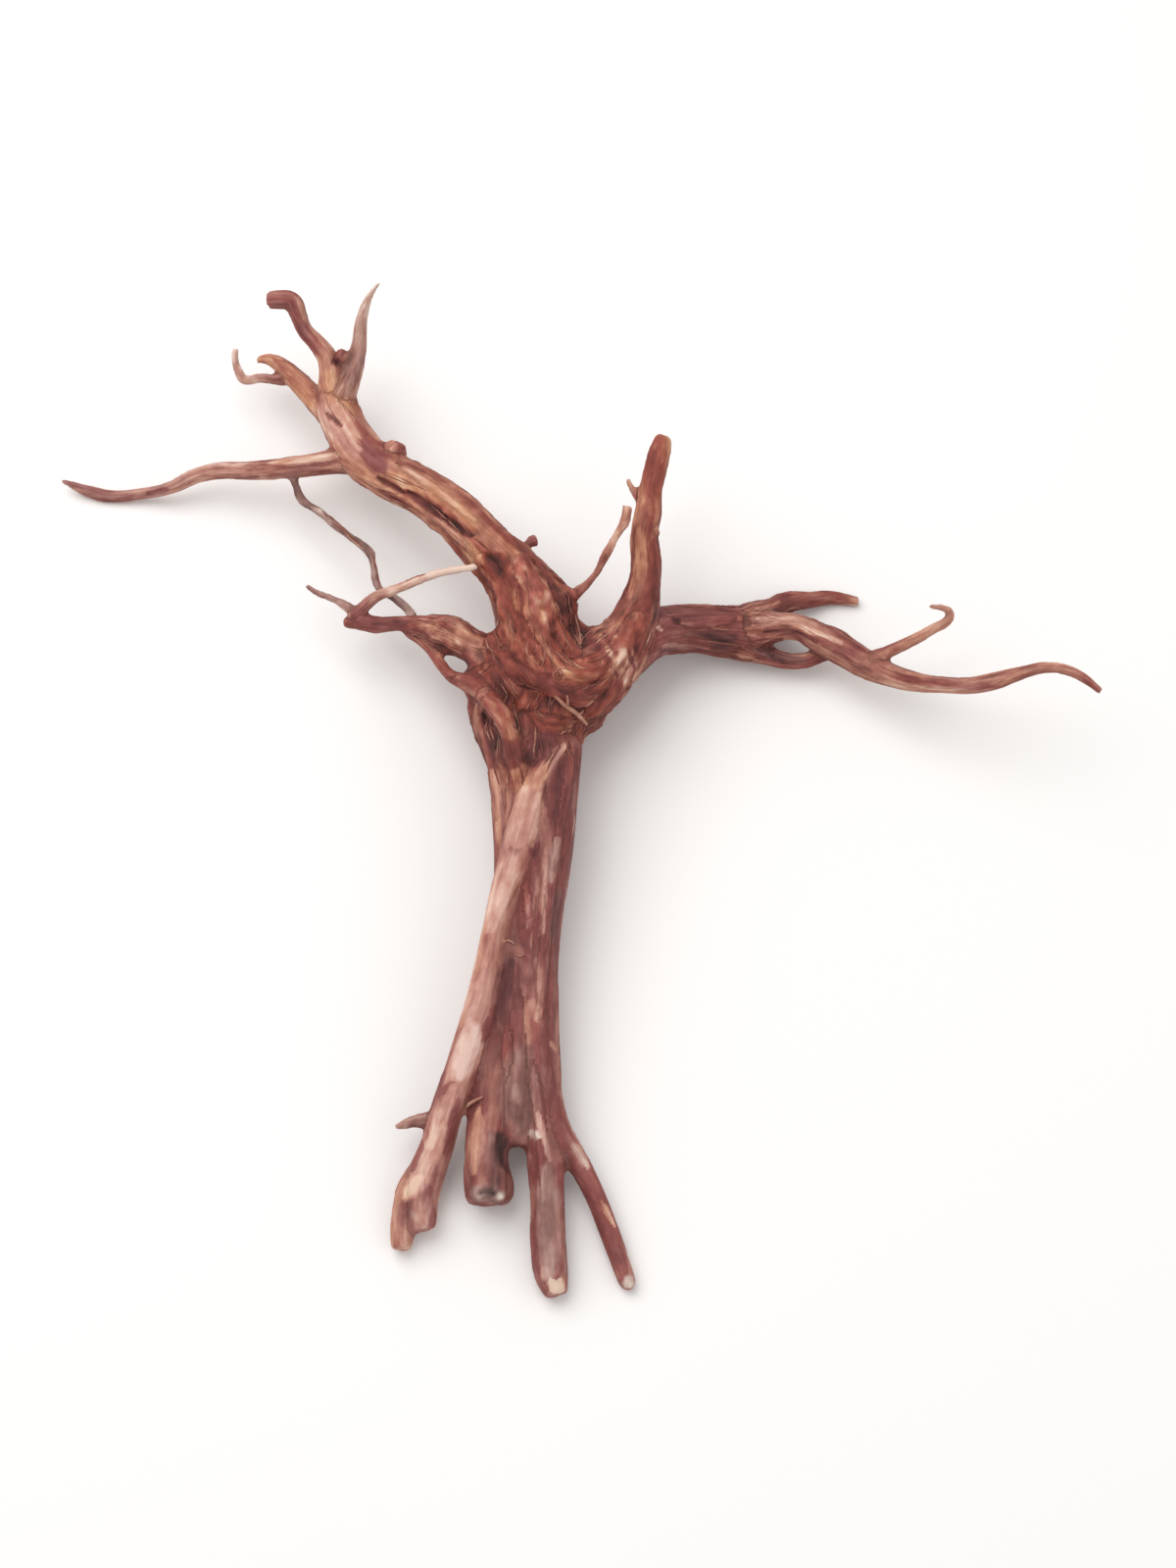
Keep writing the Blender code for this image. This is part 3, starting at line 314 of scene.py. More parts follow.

# What time and handling left on the wood, where it is seen, and in a few places painted shade and a painted
# highlight: path across and up, half width (mm), then what it adds to bark, pale, warm and grey, and how
# deep it is pressed in (mm, below 0 it stands up); what is not given is 0
marks = [
    # left arm
    ([(-143, 208), (-134, 203), (-126, 198)], 2.6, 0.5, -0.35, -0.1, 0, 3),
    ([(-123, 198), (-112, 191), (-99, 182)], 3.8, 0.5, -0.32, -0.3, 0.1, 4),
    ([(-98, 182), (-89, 175), (-79, 169)], 2.8, 0.5, -0.35, 0, 0, 3),
    ([(-140, 199), (-128, 192), (-112, 183)], 1.6, 0.5, -0.25, -0.2, 0, 1),
    ([(-178, 252), (-168, 244)], 1.8, 0.5, -0.35, 0, 0, 1.6),
    ([(-67, 155), (-58, 143)], 9.5, 0, 0.05, 0.3, 0, -0.8),
    ([(-67, 155), (-63, 149), (-58, 142)], 6.8, 1.2, -0.4, 0, 0, 1.2),
    ([(-66, 154), (-60, 144)], 3.6, 0.3, -0.2, -0.2, 0, 0.6),
    ([(-80, 160), (-72, 140), (-70, 128)], 7, -0.2, 0.16, 0.7),
    ([(-186, 254), (-170, 240), (-158, 226)], 12, -0.35, 0.16, -0.25),
    ([(-152, 232), (-146, 222), (-138, 213)], 6, 0.4, -0.1, -0.5),
    ([(-136, 212), (-122, 203), (-112, 196)], 4, -0.3, 0.1, 0.4),
    ([(-110, 204), (-92, 190), (-78, 174)], 7, -0.25, 0.06, 0.4),
    ([(-142, 198), (-124, 187), (-108, 176)], 4, -0.1, 0.1, -0.4),
    ([(-176, 278), (-170, 268), (-166, 262)], 8, -0.1, 0.04, 0.5),
    ([(-173, 289), (-171, 286)], 3, 0.5, -0.2, -0.2, 0, 1.2),
    ([(-50, 150), (-37, 134), (-28, 114)], 9, -0.2, 0.28),
    # crown
    ([(-62, 130), (-52, 108), (-42, 90)], 10, 0.1, 0.04, 0.6),
    ([(-12, 118), (-6, 104), (-4, 94)], 8, 0.5, -0.32, -0.3, 0.2, 2.5),
    ([(-66, 90), (-60, 74), (-56, 60)], 8, 0.3, -0.14, 0.1),
    ([(-29, 86), (-12, 72), (4, 74)], 8, -0.1, 0.08, 0.1),
    ([(-6, 62), (6, 68), (18, 84)], 4, -0.1, 0.06, 0.1),
    ([(16, 92), (22, 82), (25, 70)], 9, -0.6, 0.32, -0.3),
    ([(16, 108), (26, 99)], 7, -0.3, 0.12, -0.1),
    ([(20, 102), (27, 90), (32, 78)], 1.6, 0.6, -0.25, -0.3, 0, 0.6),
    ([(10, 104), (16, 92), (24, 82)], 1.4, 0.6, -0.2, -0.2, 0, 0.6),
    ([(30, 90), (30, 76), (24, 64)], 5, -0.4, 0.24, -0.3),
    ([(4, 98), (12, 86), (20, 74)], 2.6, 0.5, -0.15, -0.3, 0, 0.6),
    ([(22, 56), (10, 47), (0, 40)], 9, 0.7, -0.5, -0.6),
    ([(-19, 118), (-13, 128)], 5, 0.4, -0.25, -0.2),
    ([(-58, 92), (-50, 82), (-46, 72)], 9, 0.3, -0.12, 0.1),
    ([(-70, 45), (-66, 36), (-63, 25)], 6.5, 1, -0.42, -0.3, 0, 3.5),
    ([(-52, 44), (-40, 48), (-26, 52)], 7, 0.3, -0.12, 0.1),
    ([(-36, 34), (-34, 26), (-36, 16)], 8, 0.5, -0.18, -0.5, 0, 0.8),
    ([(-75, 32), (-68, 20), (-62, 12)], 6, 0.4, -0.14),
    # cluster
    ([(-106, 108), (-92, 106), (-80, 98)], 8, -0.3, 0.03, 0.3, 0.1),
    ([(-160, 112), (-140, 108), (-122, 110)], 4, 0.4, -0.1, -0.3),
    ([(-168, 109), (-164, 110)], 3, -0.6, 0.45, -0.3, 0.3),
    # right arm
    ([(34, 172), (34, 150), (28, 128)], 4.5, -0.4, 0.14, 0.3),
    ([(45, 164), (44, 140), (40, 118)], 5, 0.4, -0.1, 0.1),
    ([(42, 228), (46, 214), (44, 200)], 5, 0.4, -0.14, -0.1),
    # right branch
    ([(46, 118), (60, 112), (78, 112)], 8, 0.3, -0.06, -0.6),
    ([(58, 113), (62, 110)], 2.6, 0.6, -0.35, -0.2, 0, 1.2),
    ([(47, 107), (51, 105)], 1.8, -0.8, 0.4, -0.4),
    ([(50, 94), (66, 92), (82, 92)], 3, -0.5, 0.24, -0.5),
    ([(82, 102), (90, 96), (98, 100)], 6, 0.4, -0.22, -0.4, 0.3),
    ([(104, 116), (116, 119), (130, 124)], 3, -0.4, 0.16, 0.2, 0.1),
    ([(116, 112), (136, 112), (154, 106), (172, 96)], 3.6, -0.4, 0.2, -0.1, 0.1),
    ([(120, 104), (140, 104), (156, 97)], 1.6, 0.6, -0.2, -0.2, 0.1, 1),
    ([(112, 92), (130, 86), (148, 84)], 3, 0.2, -0.2, -0.2, 0.5),
    ([(126, 90), (140, 89)], 1.6, -0.5, 0.25, 0, 0.4),
    # stock
    ([(-16, 27), (-27, 13), (-36, -2)], 5, -0.6, 0.22, 0.2),
    ([(-44, 10), (-48, -6)], 7, -0.8, 0.14, 0.1),
    ([(-46, 4), (-36, 6), (-30, 14)], 9, 0.1, -0.16, 0.05),
    ([(-66, 24), (-52, 22), (-42, 18)], 8, 0.8, -0.22, -0.3),
    ([(-61, 12), (-59, -6), (-58, -26)], 9, -0.7, 0.2, 0, 0, -0.5),
    ([(-37, 24), (-31, 29), (-26, 35)], 4.5, 0.7, -0.15, -0.3),
    ([(-41, -6), (-43, -24), (-50, -46)], 13, -0.5, 0.08, -0.1),
    ([(-34, -8), (-36, -20), (-38, -36)], 5, -0.1, 0.12),
    ([(-52, -50), (-57, -72), (-64, -96)], 9, -0.5, 0.16, -0.1),
    ([(-69, 18), (-65, 0), (-62, -20), (-60, -38)], 6, -0.7, 0.14, 0.15),
    ([(-58, -4), (-58, -28), (-56, -48)], 2.8, 0.6, -0.16, -0.3),
    ([(-22, 30), (-19, 0), (-20, -28)], 6.5, 0.5, -0.16, -0.6),
    ([(-29, 2), (-29, -14)], 3, 0.4, -0.16, 0, 0.2, 0.6),
    ([(-11, 24), (-12, 4)], 2.4, 0.2, 0.1, 0.5),
    ([(-20, -37), (-23, -50), (-25, -66)], 4, -0.6, 0.17, 0.1, 0.6, 0.4),
    ([(-40, -46), (-40, -72), (-42, -104)], 9, 0.3, -0.02, 0.1),
    ([(-36, -58), (-35, -74), (-36, -90)], 2.6, -0.4, 0.16, -0.2),
    ([(-20, -74), (-22, -92), (-24, -106)], 5, 0.2, -0.12, 0, 0.5),
    ([(-58, -106), (-50, -112), (-40, -117)], 2.4, -0.2, 0.06, 0, 0, -0.4),
    ([(-52, -122), (-54, -140), (-56, -160)], 8, 0.4, -0.16, -0.6, 0.1, 0.6),
    ([(-35, -120), (-34, -140), (-35, -160)], 4.5, -0.4, 0.14),
    ([(-41, -42), (-37, -48), (-34, -40)], 2, 0.6, -0.2, -0.8),
    ([(-54, -42), (-50, -47), (-45, -44)], 1.8, 0.6, -0.18, -0.8),
    ([(-29, -44), (-29.5, -70), (-31, -102)], 1.6, -0.6, 0.26, -0.2),
    ([(-40, -76), (-41, -98)], 2.4, -0.4, 0.18, -0.4),
    ([(-39, -150), (-38, -162), (-40, -174)], 7, -0.4, 0.2, 0.2),
    ([(-46, -184), (-48, -210), (-44, -234)], 15, 0, 0.08, 0.15, 0.42),
    ([(-30, -180), (-30, -200), (-29, -216)], 8, 0.4, -0.08, -0.3),
    ([(-34, -224), (-30, -240), (-26, -256)], 2.2, -0.9, 0.36, -0.4, 0, 0.4),
    ([(-39, -237), (-33, -240)], 3, -0.8, 0.24, 0, 0.8, -0.5),
    # painted shadow, darker and a little grey, in the pressed hollow of the web between the stub and the leg
    ([(-60, -240), (-57, -250), (-55, -262)], 6.6, 0.6, -0.34, -0.4, 0.3, 2.2),
    ([(-18, -257), (-15, -266)], 2.4, 0.4, -0.15, -0.2, 0, 5),
    ([(-50, -204), (-48, -216)], 3.4, -0.3, 0.1, 0.2, 0.2),
    # painted shade along the stock's right edge, the side turned from the light, with some grey silvering
    ([(-20, -98), (-22, -122), (-21, -150)], 5, 0.2, -0.14, 0, 0.4),
    ([(-26, -176), (-22, -181)], 2, -0.6, 0.3, 0.5),
    # left branch and tips
    ([(-240, 208), (-224, 209)], 2, 0.5, -0.2, -0.5),
    ([(-216, 219), (-190, 222), (-170, 224)], 3.2, -0.4, 0.18, 0.3, 0.1),
    ([(-300, 198), (-286, 200)], 3, 0.5, -0.1, -0.4),
    ([(-196, 313), (-190, 303)], 3.6, 0.6, -0.12, -0.6),
    # long foot
    ([(-70, -132), (-75, -150), (-79, -164)], 8, -0.4, 0.08, -0.2),
    ([(-68, -160), (-74, -176)], 3, 0.6, -0.1, -0.5),
    ([(-77, -166), (-81, -180), (-86, -197)], 9, -0.6, 0.26, -0.6, 0.1),
    ([(-93, -204), (-98, -218)], 6, 0.5, -0.1, -0.6),
    ([(-88, -216), (-92, -236), (-97, -250)], 5, 0.5, -0.1, -0.5),
    ([(-92, -206), (-99, -226), (-107, -246)], 4, -0.7, 0.2, 0.1, 0, 0.4),
    ([(-99, -234), (-106, -250), (-114, -266), (-122, -280)], 6.6, -0.8, 0.24, 0.2, 0, 1.2),
    ([(-115, -268), (-124, -281)], 4.6, -0.6, 0.22, 0.3, 0, -1),
    ([(-122, -286), (-126, -298)], 8, -0.2, -0.1, -0.1, 0.1),
    ([(-120, -291), (-116, -296)], 3.2, -0.4, 0.14, 0, 0.5),
    ([(-113, -244), (-119, -262)], 4, 0.5, -0.1, -0.3),
    ([(-110, -274), (-106, -298)], 6, 0.3, 0.02, -0.9, 0.1),
    # stub and legs
    ([(-74, -222), (-77, -244), (-77, -264)], 4.6, -0.8, 0.26, 0.4, 0, -0.6),
    ([(-64, -240), (-62, -256), (-62, -272)], 7, 0.4, -0.08, -0.3, 0.4),
    ([(-78, -277), (-66, -282), (-58, -280)], 7, -0.1, 0, -0.2, 0.9),
    # the stub's cut end: a pressed cavity painted dark as painted shade, with some real grey
    ([(-73, -278), (-64, -279)], 4.2, 0.2, -0.2, -0.2, 0.2, 2.6),
    # a painted highlight beside that cavity, raised a little
    ([(-62, -279), (-58, -281)], 2, -0.4, 0.24, 0, 0.4, -0.6),
    ([(-28, -262), (-27, -290), (-26, -318), (-26, -334)], 7.5, -0.3, 0.05, -0.1, 0.6),
    ([(-36, -300), (-34, -330)], 3, 0.4, -0.06, 0.2),
    ([(-30, -330), (-26, -336)], 4, -0.4, 0.18, -0.5),
    ([(-24, -340), (-18, -345), (-17, -349)], 5.5, -1.8, 0.95, 0.8, 0.3, 1),
    ([(-10, -245), (0, -260)], 3, -0.6, 0.16, 0.1, 0.7),
    ([(9, -284), (18, -300)], 2.6, -0.6, 0.24, 0.5, 0.1),
    ([(16, -308), (24, -328)], 4, 0.5, -0.06, -0.1),
    ([(27, -336), (30, -342)], 5, -0.6, 0.22, 0, 1, 0.5),
]


# The view and the wood's skin

def eye():
    tilt = math.radians(view["elevation"])
    return view["distance"] * Vector((0, -math.cos(tilt), math.sin(tilt)))


def inPicture(across, up):
    tilt = math.radians(view["elevation"])
    return Vector((across, up * math.sin(tilt), up * math.cos(tilt)))


def inPart(place):
    return Vector((place.x - view["middle"][0], place.y - view["middle"][1], place.z)) * mm


def placeAt(across, up, height):
    start = eye()
    line = inPicture(across, up) - start
    return inPart(start + line * ((start.z - height) / -line.z))


def placeOn(tree, across, up, sink):
    start = inPart(eye())
    line = (inPart(inPicture(across, up)) - start).normalized()
    place, normal = tree.ray_cast(start, line)[:2]
    if place is None:
        return None
    return place - normal * sink


def outlineCurve(name, depth, points):
    data = bpy.data.curves.new(name, "CURVE")
    data.dimensions = "2D"
    spline = data.splines.new("POLY")
    spline.points.add(points - 1)
    for i, point in enumerate(spline.points):
        turn = 2 * math.pi * i / points
        radius = 1 + depth * (math.sin(wood["flutes"] * turn) + 0.5 * math.sin(2 * turn))
        point.co = (radius * math.cos(turn), radius * math.sin(turn), 0, 1)
    spline.use_cyclic_u = True
    outline = bpy.data.objects.new(name, data)
    bpy.context.collection.objects.link(outline)
    return outline


def mergeAndTurnOut():
    bpy.ops.object.mode_set(mode="EDIT")
    bpy.ops.mesh.select_all(action="SELECT")
    bpy.ops.mesh.remove_doubles(threshold=0.001 * mm)
    bpy.ops.mesh.normals_make_consistent(inside=False)
    bpy.ops.object.mode_set(mode="OBJECT")


def drawRoot(name, places, radii, outline):
    bpy.ops.curve.primitive_bezier_curve_add(location=(0, 0, 0))
    root = bpy.context.object
    root.name = name
    data = root.data
    data.bevel_mode = "OBJECT"
    data.bevel_object = outline
    data.use_fill_caps = True
    data.resolution_u = 8
    spline = data.splines[0]
    spline.radius_interpolation = "CARDINAL"
    spline.bezier_points.add(len(places) - 2)
    for i, (point, place, radius) in enumerate(zip(spline.bezier_points, places, radii)):
        point.co = place
        point.radius = radius * mm
        point.tilt = math.radians(wood["twistPerPoint"]) * i
        point.handle_left_type = "AUTO"
        point.handle_right_type = "AUTO"
    bpy.ops.object.convert(target="MESH")
    mergeAndTurnOut()
    root.select_set(False)
    return root


def joinedPieces(pieces):
    bpy.ops.object.select_all(action="DESELECT")
    for piece in pieces:
        piece.select_set(True)
    bpy.context.view_layer.objects.active = pieces[0]
    bpy.ops.object.join()
    return bpy.context.object


def growTogether(piece, softening):
    bpy.context.view_layer.objects.active = piece
    remesh = piece.modifiers.new("grow", "REMESH")
    remesh.mode = "VOXEL"
    remesh.voxel_size = wood["voxel"] * mm
    soften = piece.modifiers.new("soften", "SMOOTH")
    soften.factor = 0.5
    soften.iterations = softening
    bpy.ops.object.modifier_apply(modifier="grow")
    bpy.ops.object.modifier_apply(modifier="soften")
    bpy.ops.object.select_all(action="DESELECT")
    piece.select_set(True)
    bpy.ops.object.mode_set(mode="EDIT")
    bpy.ops.mesh.separate(type="LOOSE")
    bpy.ops.object.mode_set(mode="OBJECT")
    parts = sorted(bpy.context.selected_objects, key=lambda part: len(part.data.vertices))
    for part in parts[:-1]:
        bpy.data.objects.remove(part)
    bpy.ops.object.select_all(action="DESELECT")
    return parts[-1]


def skinTree(mesh):
    return BVHTree.FromPolygons([v.co for v in mesh.vertices], [p.vertices for p in mesh.polygons])


# The grain: each point of the skin is read as a place along and round the root it belongs to

def smoothPath(places, radii):
    points = np.array([tuple(place) for place in places]) / mm
    points = np.vstack([2 * points[0] - points[1], points, 2 * points[-1] - points[-2]])
    sizes = np.array([radii[0], *radii, radii[-1]], float)
    middles = []
    widths = []
    for i in range(1, len(points) - 2):
        before, here, there, after = points[i - 1:i + 3]
        steps = max(2, int(np.linalg.norm(there - here) / wood["sampleStep"]))
        for t in np.arange(steps) / steps:
            middles.append(0.5 * (2 * here + (there - before) * t
                                  + (2 * before - 5 * here + 4 * there - after) * t ** 2
                                  + (3 * here - before - 3 * there + after) * t ** 3))
            widths.append(sizes[i] + (sizes[i + 1] - sizes[i]) * t)
    middles.append(points[-2])
    widths.append(sizes[-2])
    return np.array(middles), np.array(widths)


def strandOf(places, radii, look):
    middles, widths = smoothPath(places, radii)
    runs = np.diff(middles, axis=0)
    lengths = np.linalg.norm(runs, axis=1)
    tangents = np.gradient(middles, axis=0)
    tangents /= np.linalg.norm(tangents, axis=1)[:, None]
    side = Vector(tangents[0]).orthogonal().normalized()
    sides = []
    for i in range(len(tangents)):
        if i:
            side = Vector(tangents[i - 1]).rotation_difference(Vector(tangents[i])) @ side
        sides.append(tuple(side))
    sides = np.array(sides)
    along = np.concatenate([[0], np.cumsum(lengths)])
    strand = {"middles": middles, "widths": widths, "tangents": tangents, "sides": sides,
              "uppers": np.cross(tangents, sides), "along": along, "swath": look.get("swath", 0)}
    for name, usual in looks.items():
        value = look.get(name, usual)
        first, last = value if isinstance(value, tuple) else (value, value)
        strand[name] = first + (last - first) * along / along[-1]
    return strand


def meshNumbers(mesh, name, size):
    values = np.empty(len(mesh.vertices) * size, np.float32)
    mesh.vertices.foreach_get(name, values)
    return values.reshape(-1, size).astype(float)


def moveSkin(mesh, points):
    mesh.vertices.foreach_set("co", (points * mm).astype(np.float32).ravel())
    mesh.update()


def readGrain(points, strands):
    count = len(points)
    best = np.full(count, farAway)
    second = np.full(count, farAway)
    grain = np.zeros((count, 3))
    flow = np.zeros((count, 3))
    look = {name: np.zeros(count) for name in (*looks, "size")}
    for index, strand in enumerate(strands):
        margin = strand["widths"].max() + strand["swath"] + wood["reach"]
        low = strand["middles"].min(0) - margin
        high = strand["middles"].max(0) + margin
        near = np.where(((points > low) & (points < high)).all(1))[0]
        if not len(near):
            continue
        spots = points[near]
        gaps = np.full(len(near), farAway)
        which = np.zeros(len(near), int)
        for j, middle in enumerate(strand["middles"]):
            gap = np.linalg.norm(spots - middle, axis=1) - strand["widths"][j] - strand["swath"]
            closer = gap < gaps
            gaps[closer] = gap[closer]
            which[closer] = j
        away = spots - strand["middles"][which]
        forward = (away * strand["tangents"][which]).sum(1)
        x = (away * strand["sides"][which]).sum(1)
        y = (away * strand["uppers"][which]).sum(1)
        wins = gaps < best[near]
        second[near] = np.where(wins, best[near], np.minimum(second[near], gaps))
        won = near[wins]
        best[won] = gaps[wins]
        offset = wood["grainApart"] * (index + 1)
        grain[won] = np.stack([x + offset, y, strand["along"][which] + forward], 1)[wins]
        flow[won] = strand["tangents"][which][wins]
        for name in looks:
            look[name][won] = strand[name][which][wins]
        look["size"][won] = strand["widths"][which][wins] + strand["swath"]
    return grain, flow, look, np.clip(second - best, 0, wood["widestSeam"])


def noiseAt(grain, across, along, seed):
    places = grain / np.array([across, across, along]) + seed
    return np.array([noise.noise(place) for place in places.tolist()])


def spreadOver(mesh, values, rounds):
    edges = np.empty(len(mesh.edges) * 2, np.int32)
    mesh.edges.foreach_get("vertices", edges)
    a, b = edges.reshape(-1, 2).T
    count = len(mesh.vertices)
    links = np.bincount(a, minlength=count) + np.bincount(b, minlength=count)
    flat = values.reshape(count, -1)
    for _ in range(rounds):
        total = np.stack([np.bincount(a, flat[b, k], count) + np.bincount(b, flat[a, k], count)
                          for k in range(flat.shape[1])], 1)
        flat = 0.5 * flat + 0.5 * total / links[:, None]
    return flat.reshape(values.shape)


def giveAttribute(mesh, name, values):
    kind, field = ("FLOAT_VECTOR", "vector") if values.ndim == 2 else ("FLOAT", "value")
    attribute = mesh.attributes.new(name, kind, "POINT")
    attribute.data.foreach_set(field, values.astype(np.float32).ravel())


def creaseAllowance(mesh, strands):
    points = meshNumbers(mesh, "co", 3) / mm
    look = readGrain(points, strands)[2]
    share = np.clip(look["fill"], wood["leastFillShare"], 1)
    most = np.clip(wood["creaseFill"] * look["size"], 0, wood["mostFill"])
    fill = spreadOver(mesh, share * most, wood["fillEvening"])
    thick = np.clip((look["size"] - wood["settlesFrom"]) / wood["settlesOver"], 0, 1)
    return points, fill, share * thick


# Roots that grew against each other share their wood: swollen, made one skin, and drawn in again
def fillCreases(piece, strands):
    points, fill, thick = creaseAllowance(piece.data, strands)
    moveSkin(piece.data, points + meshNumbers(piece.data, "normal", 3) * fill[:, None])
    piece = growTogether(piece, 1)
    points, fill, thick = creaseAllowance(piece.data, strands)
    points -= meshNumbers(piece.data, "normal", 3) * fill[:, None]
    settled = spreadOver(piece.data, points, wood["settling"])
    thick = spreadOver(piece.data, thick, wood["settlingBlend"])[:, None]
    moveSkin(piece.data, points * (1 - thick) + settled * thick)
    return piece


def makeRoot():
    thick = outlineCurve("flutedOutline", wood["fluteDepth"], wood["outlinePoints"])
    thin = outlineCurve("plainOutline", 0.0, wood["outlinePoints"] // 2)
    body = []
    twigs = []
    strands = []
    for name, root in roots.items():
        places = [placeAt(*station[:3]) for station in root["route"]]
        radii = [station[3] for station in root["route"]]
        tube = drawRoot(name, places, radii, thick)
        (body if "fill" in root else twigs).append(tube)
        strands.append(strandOf(places, radii, root))
    piece = fillCreases(growTogether(joinedPieces(body), wood["softening"]), strands)
    tree = skinTree(piece.data)
    for fibre in laidFibres:
        radii = [radius for across, up, radius in fibre["path"]]
        radii[0] *= wood["fibreEnd"]
        radii[-1] *= wood["fibreEnd"]
        sink = fibre.get("sink", wood["fibreSink"])
        places = [placeOn(tree, across, up, (full * (1 + sink) - radius) * mm)
                  for (across, up, full), radius in zip(fibre["path"], radii)]
        twigs.append(drawRoot("laidFibre", places, radii, thin))
        strands.append(strandOf(places, radii, fibre))
    piece = growTogether(joinedPieces([piece] + twigs), wood["softening"])
    bpy.data.objects.remove(thick)
    print("roots grown together:", len(piece.data.polygons), "faces")
    return piece, strands, thin


def paintMarks(points, facing, grain, tree, look):
    wander = sum(amount * noiseAt(grain, *kind) for amount, *kind in markEdge["wander"])
    push = np.zeros(len(points))
    for path, half, *adds in marks:
        bark, pale, warm, grey, depth = (adds + [0] * 4)[:5]
        spots = [placeOn(tree, across, up, 0) for across, up in path]
        line = [np.array(spot) / mm for spot in spots if spot]
        nearest = np.full(len(points), farAway)
        done = 0.0
        whole = sum(np.linalg.norm(end - start) for start, end in zip(line, line[1:]))
        for start, end in zip(line, line[1:]):
            run = end - start
            share = np.clip((points - start) @ run / (run @ run), 0, 1)
            place = (done + share * np.linalg.norm(run)) / whole
            taper = np.clip(markEdge["taper"] * np.minimum(place, 1 - place), 0, 1) * 0.5 + 0.5
            gap = np.linalg.norm(points - start - share[:, None] * run, axis=1) / (half * taper)
            nearest = np.minimum(nearest, gap)
            done += np.linalg.norm(run)
        ragged = nearest + markEdge["sway"] * wander
        force = facing * np.clip(markEdge["full"] - markEdge["fade"] * ragged, 0, 1)
        for name, add in (("bark", bark), ("pale", pale), ("warm", warm), ("grey", grey)):
            look[name] += add * force
        push -= depth * facing * np.exp(-nearest ** 2)
    return push


def weather(piece, strands):
    mesh = piece.data
    tree = skinTree(mesh)
    points = meshNumbers(mesh, "co", 3) / mm
    grain, flow, look, seamGap = readGrain(points, strands)
    normals = meshNumbers(mesh, "normal", 3)
    seam = np.exp(-(seamGap / weathering["seam"]) ** 2)
    size = spreadOver(mesh, look["size"], weathering["sizeRounds"]) / weathering["fullSize"]
    size = np.clip(size, weathering["leastSize"], 1)
    for name in looks:
        look[name] = spreadOver(mesh, look[name], weathering["lookRounds"])
    push = np.zeros(len(points))
    for groove in relief:
        push += groove["depth"] * noiseAt(grain, groove["across"], groove["along"], groove["seed"])
    push *= size * look["combed"] * (1 - weathering["seamCalm"] * seam)
    facing = np.clip(weathering["facing"] * normals @ np.array(eye().normalized()), 0, 1)
    push += paintMarks(points, facing, grain, tree, look)
    for tuft in tufts:
        raised = look["matted"] * noiseAt(grain, tuft["across"], tuft["along"], tuft["seed"])
        push += tuft["height"] * np.maximum(size, weathering["leastTuft"]) * raised
        # Painted highlight and shade: the wood is made paler where a tuft stands up and darker where it
        # sinks
        look["pale"] += tuft["pale"] * raised
    for patch in barkPatches:
        look["bark"] += patch["weight"] * noiseAt(grain, patch["across"], patch["along"], patch["seed"])
    covered = np.clip((look["bark"] - weathering["barkFrom"]) / weathering["barkOver"], 0, 1)
    push += barkThickness * size * covered
    points += normals * push[:, None]
    points[:, 2] = np.maximum(points[:, 2], 0)
    # How far each point lies below its smoothed neighbours (mm); the material darkens the wood by it, as
    # painted shade in hollows and creases
    smooth = spreadOver(mesh, points, weathering["hollowRounds"])
    hollow = ((smooth - points) * normals).sum(1)
    moveSkin(mesh, points)
    giveAttribute(mesh, "grain", grain)
    for name in ("bark", "pale", "warm", "grey", "combed"):
        giveAttribute(mesh, name, look[name])
    giveAttribute(mesh, "hollow", hollow)
    bpy.ops.object.select_all(action="DESELECT")
    piece.select_set(True)
    bpy.context.view_layer.objects.active = piece
    bpy.ops.object.shade_smooth()
    piece.select_set(False)
    print("grain cut, box", (points.min(0)).round(1), (points.max(0)).round(1))
    return flow


# Loose fibres and splinters on the wood

def placeTree(places):
    tree = KDTree(len(places))
    for i, place in enumerate(places):
        tree.insert(place, i)
    tree.balance()
    return tree


def splinesPiece(name, runs):
    bpy.ops.curve.primitive_bezier_curve_add(location=(0, 0, 0))
    piece = bpy.context.object
    piece.name = name
    data = piece.data
    data.splines.clear()
    data.bevel_depth = mm
    data.bevel_resolution = 0
    data.use_fill_caps = True
    for places, radii, tone in runs:
        spline = data.splines.new("POLY")
        spline.points.add(len(places) - 1)
        for point, place, radius in zip(spline.points, places, radii):
            point.co = (*place, 1)
            point.radius = radius
    bpy.ops.object.convert(target="MESH")
    mergeAndTurnOut()
    tones = [tone for places, radii, tone in runs for _ in places]
    stops = placeTree([place for places, radii, tone in runs for place in places])
    nearest = [tones[stops.find(vertex.co)[1]] for vertex in piece.data.vertices]
    giveAttribute(piece.data, "tone", np.array(nearest))
    bpy.ops.object.shade_smooth()
    piece.select_set(False)
    return piece


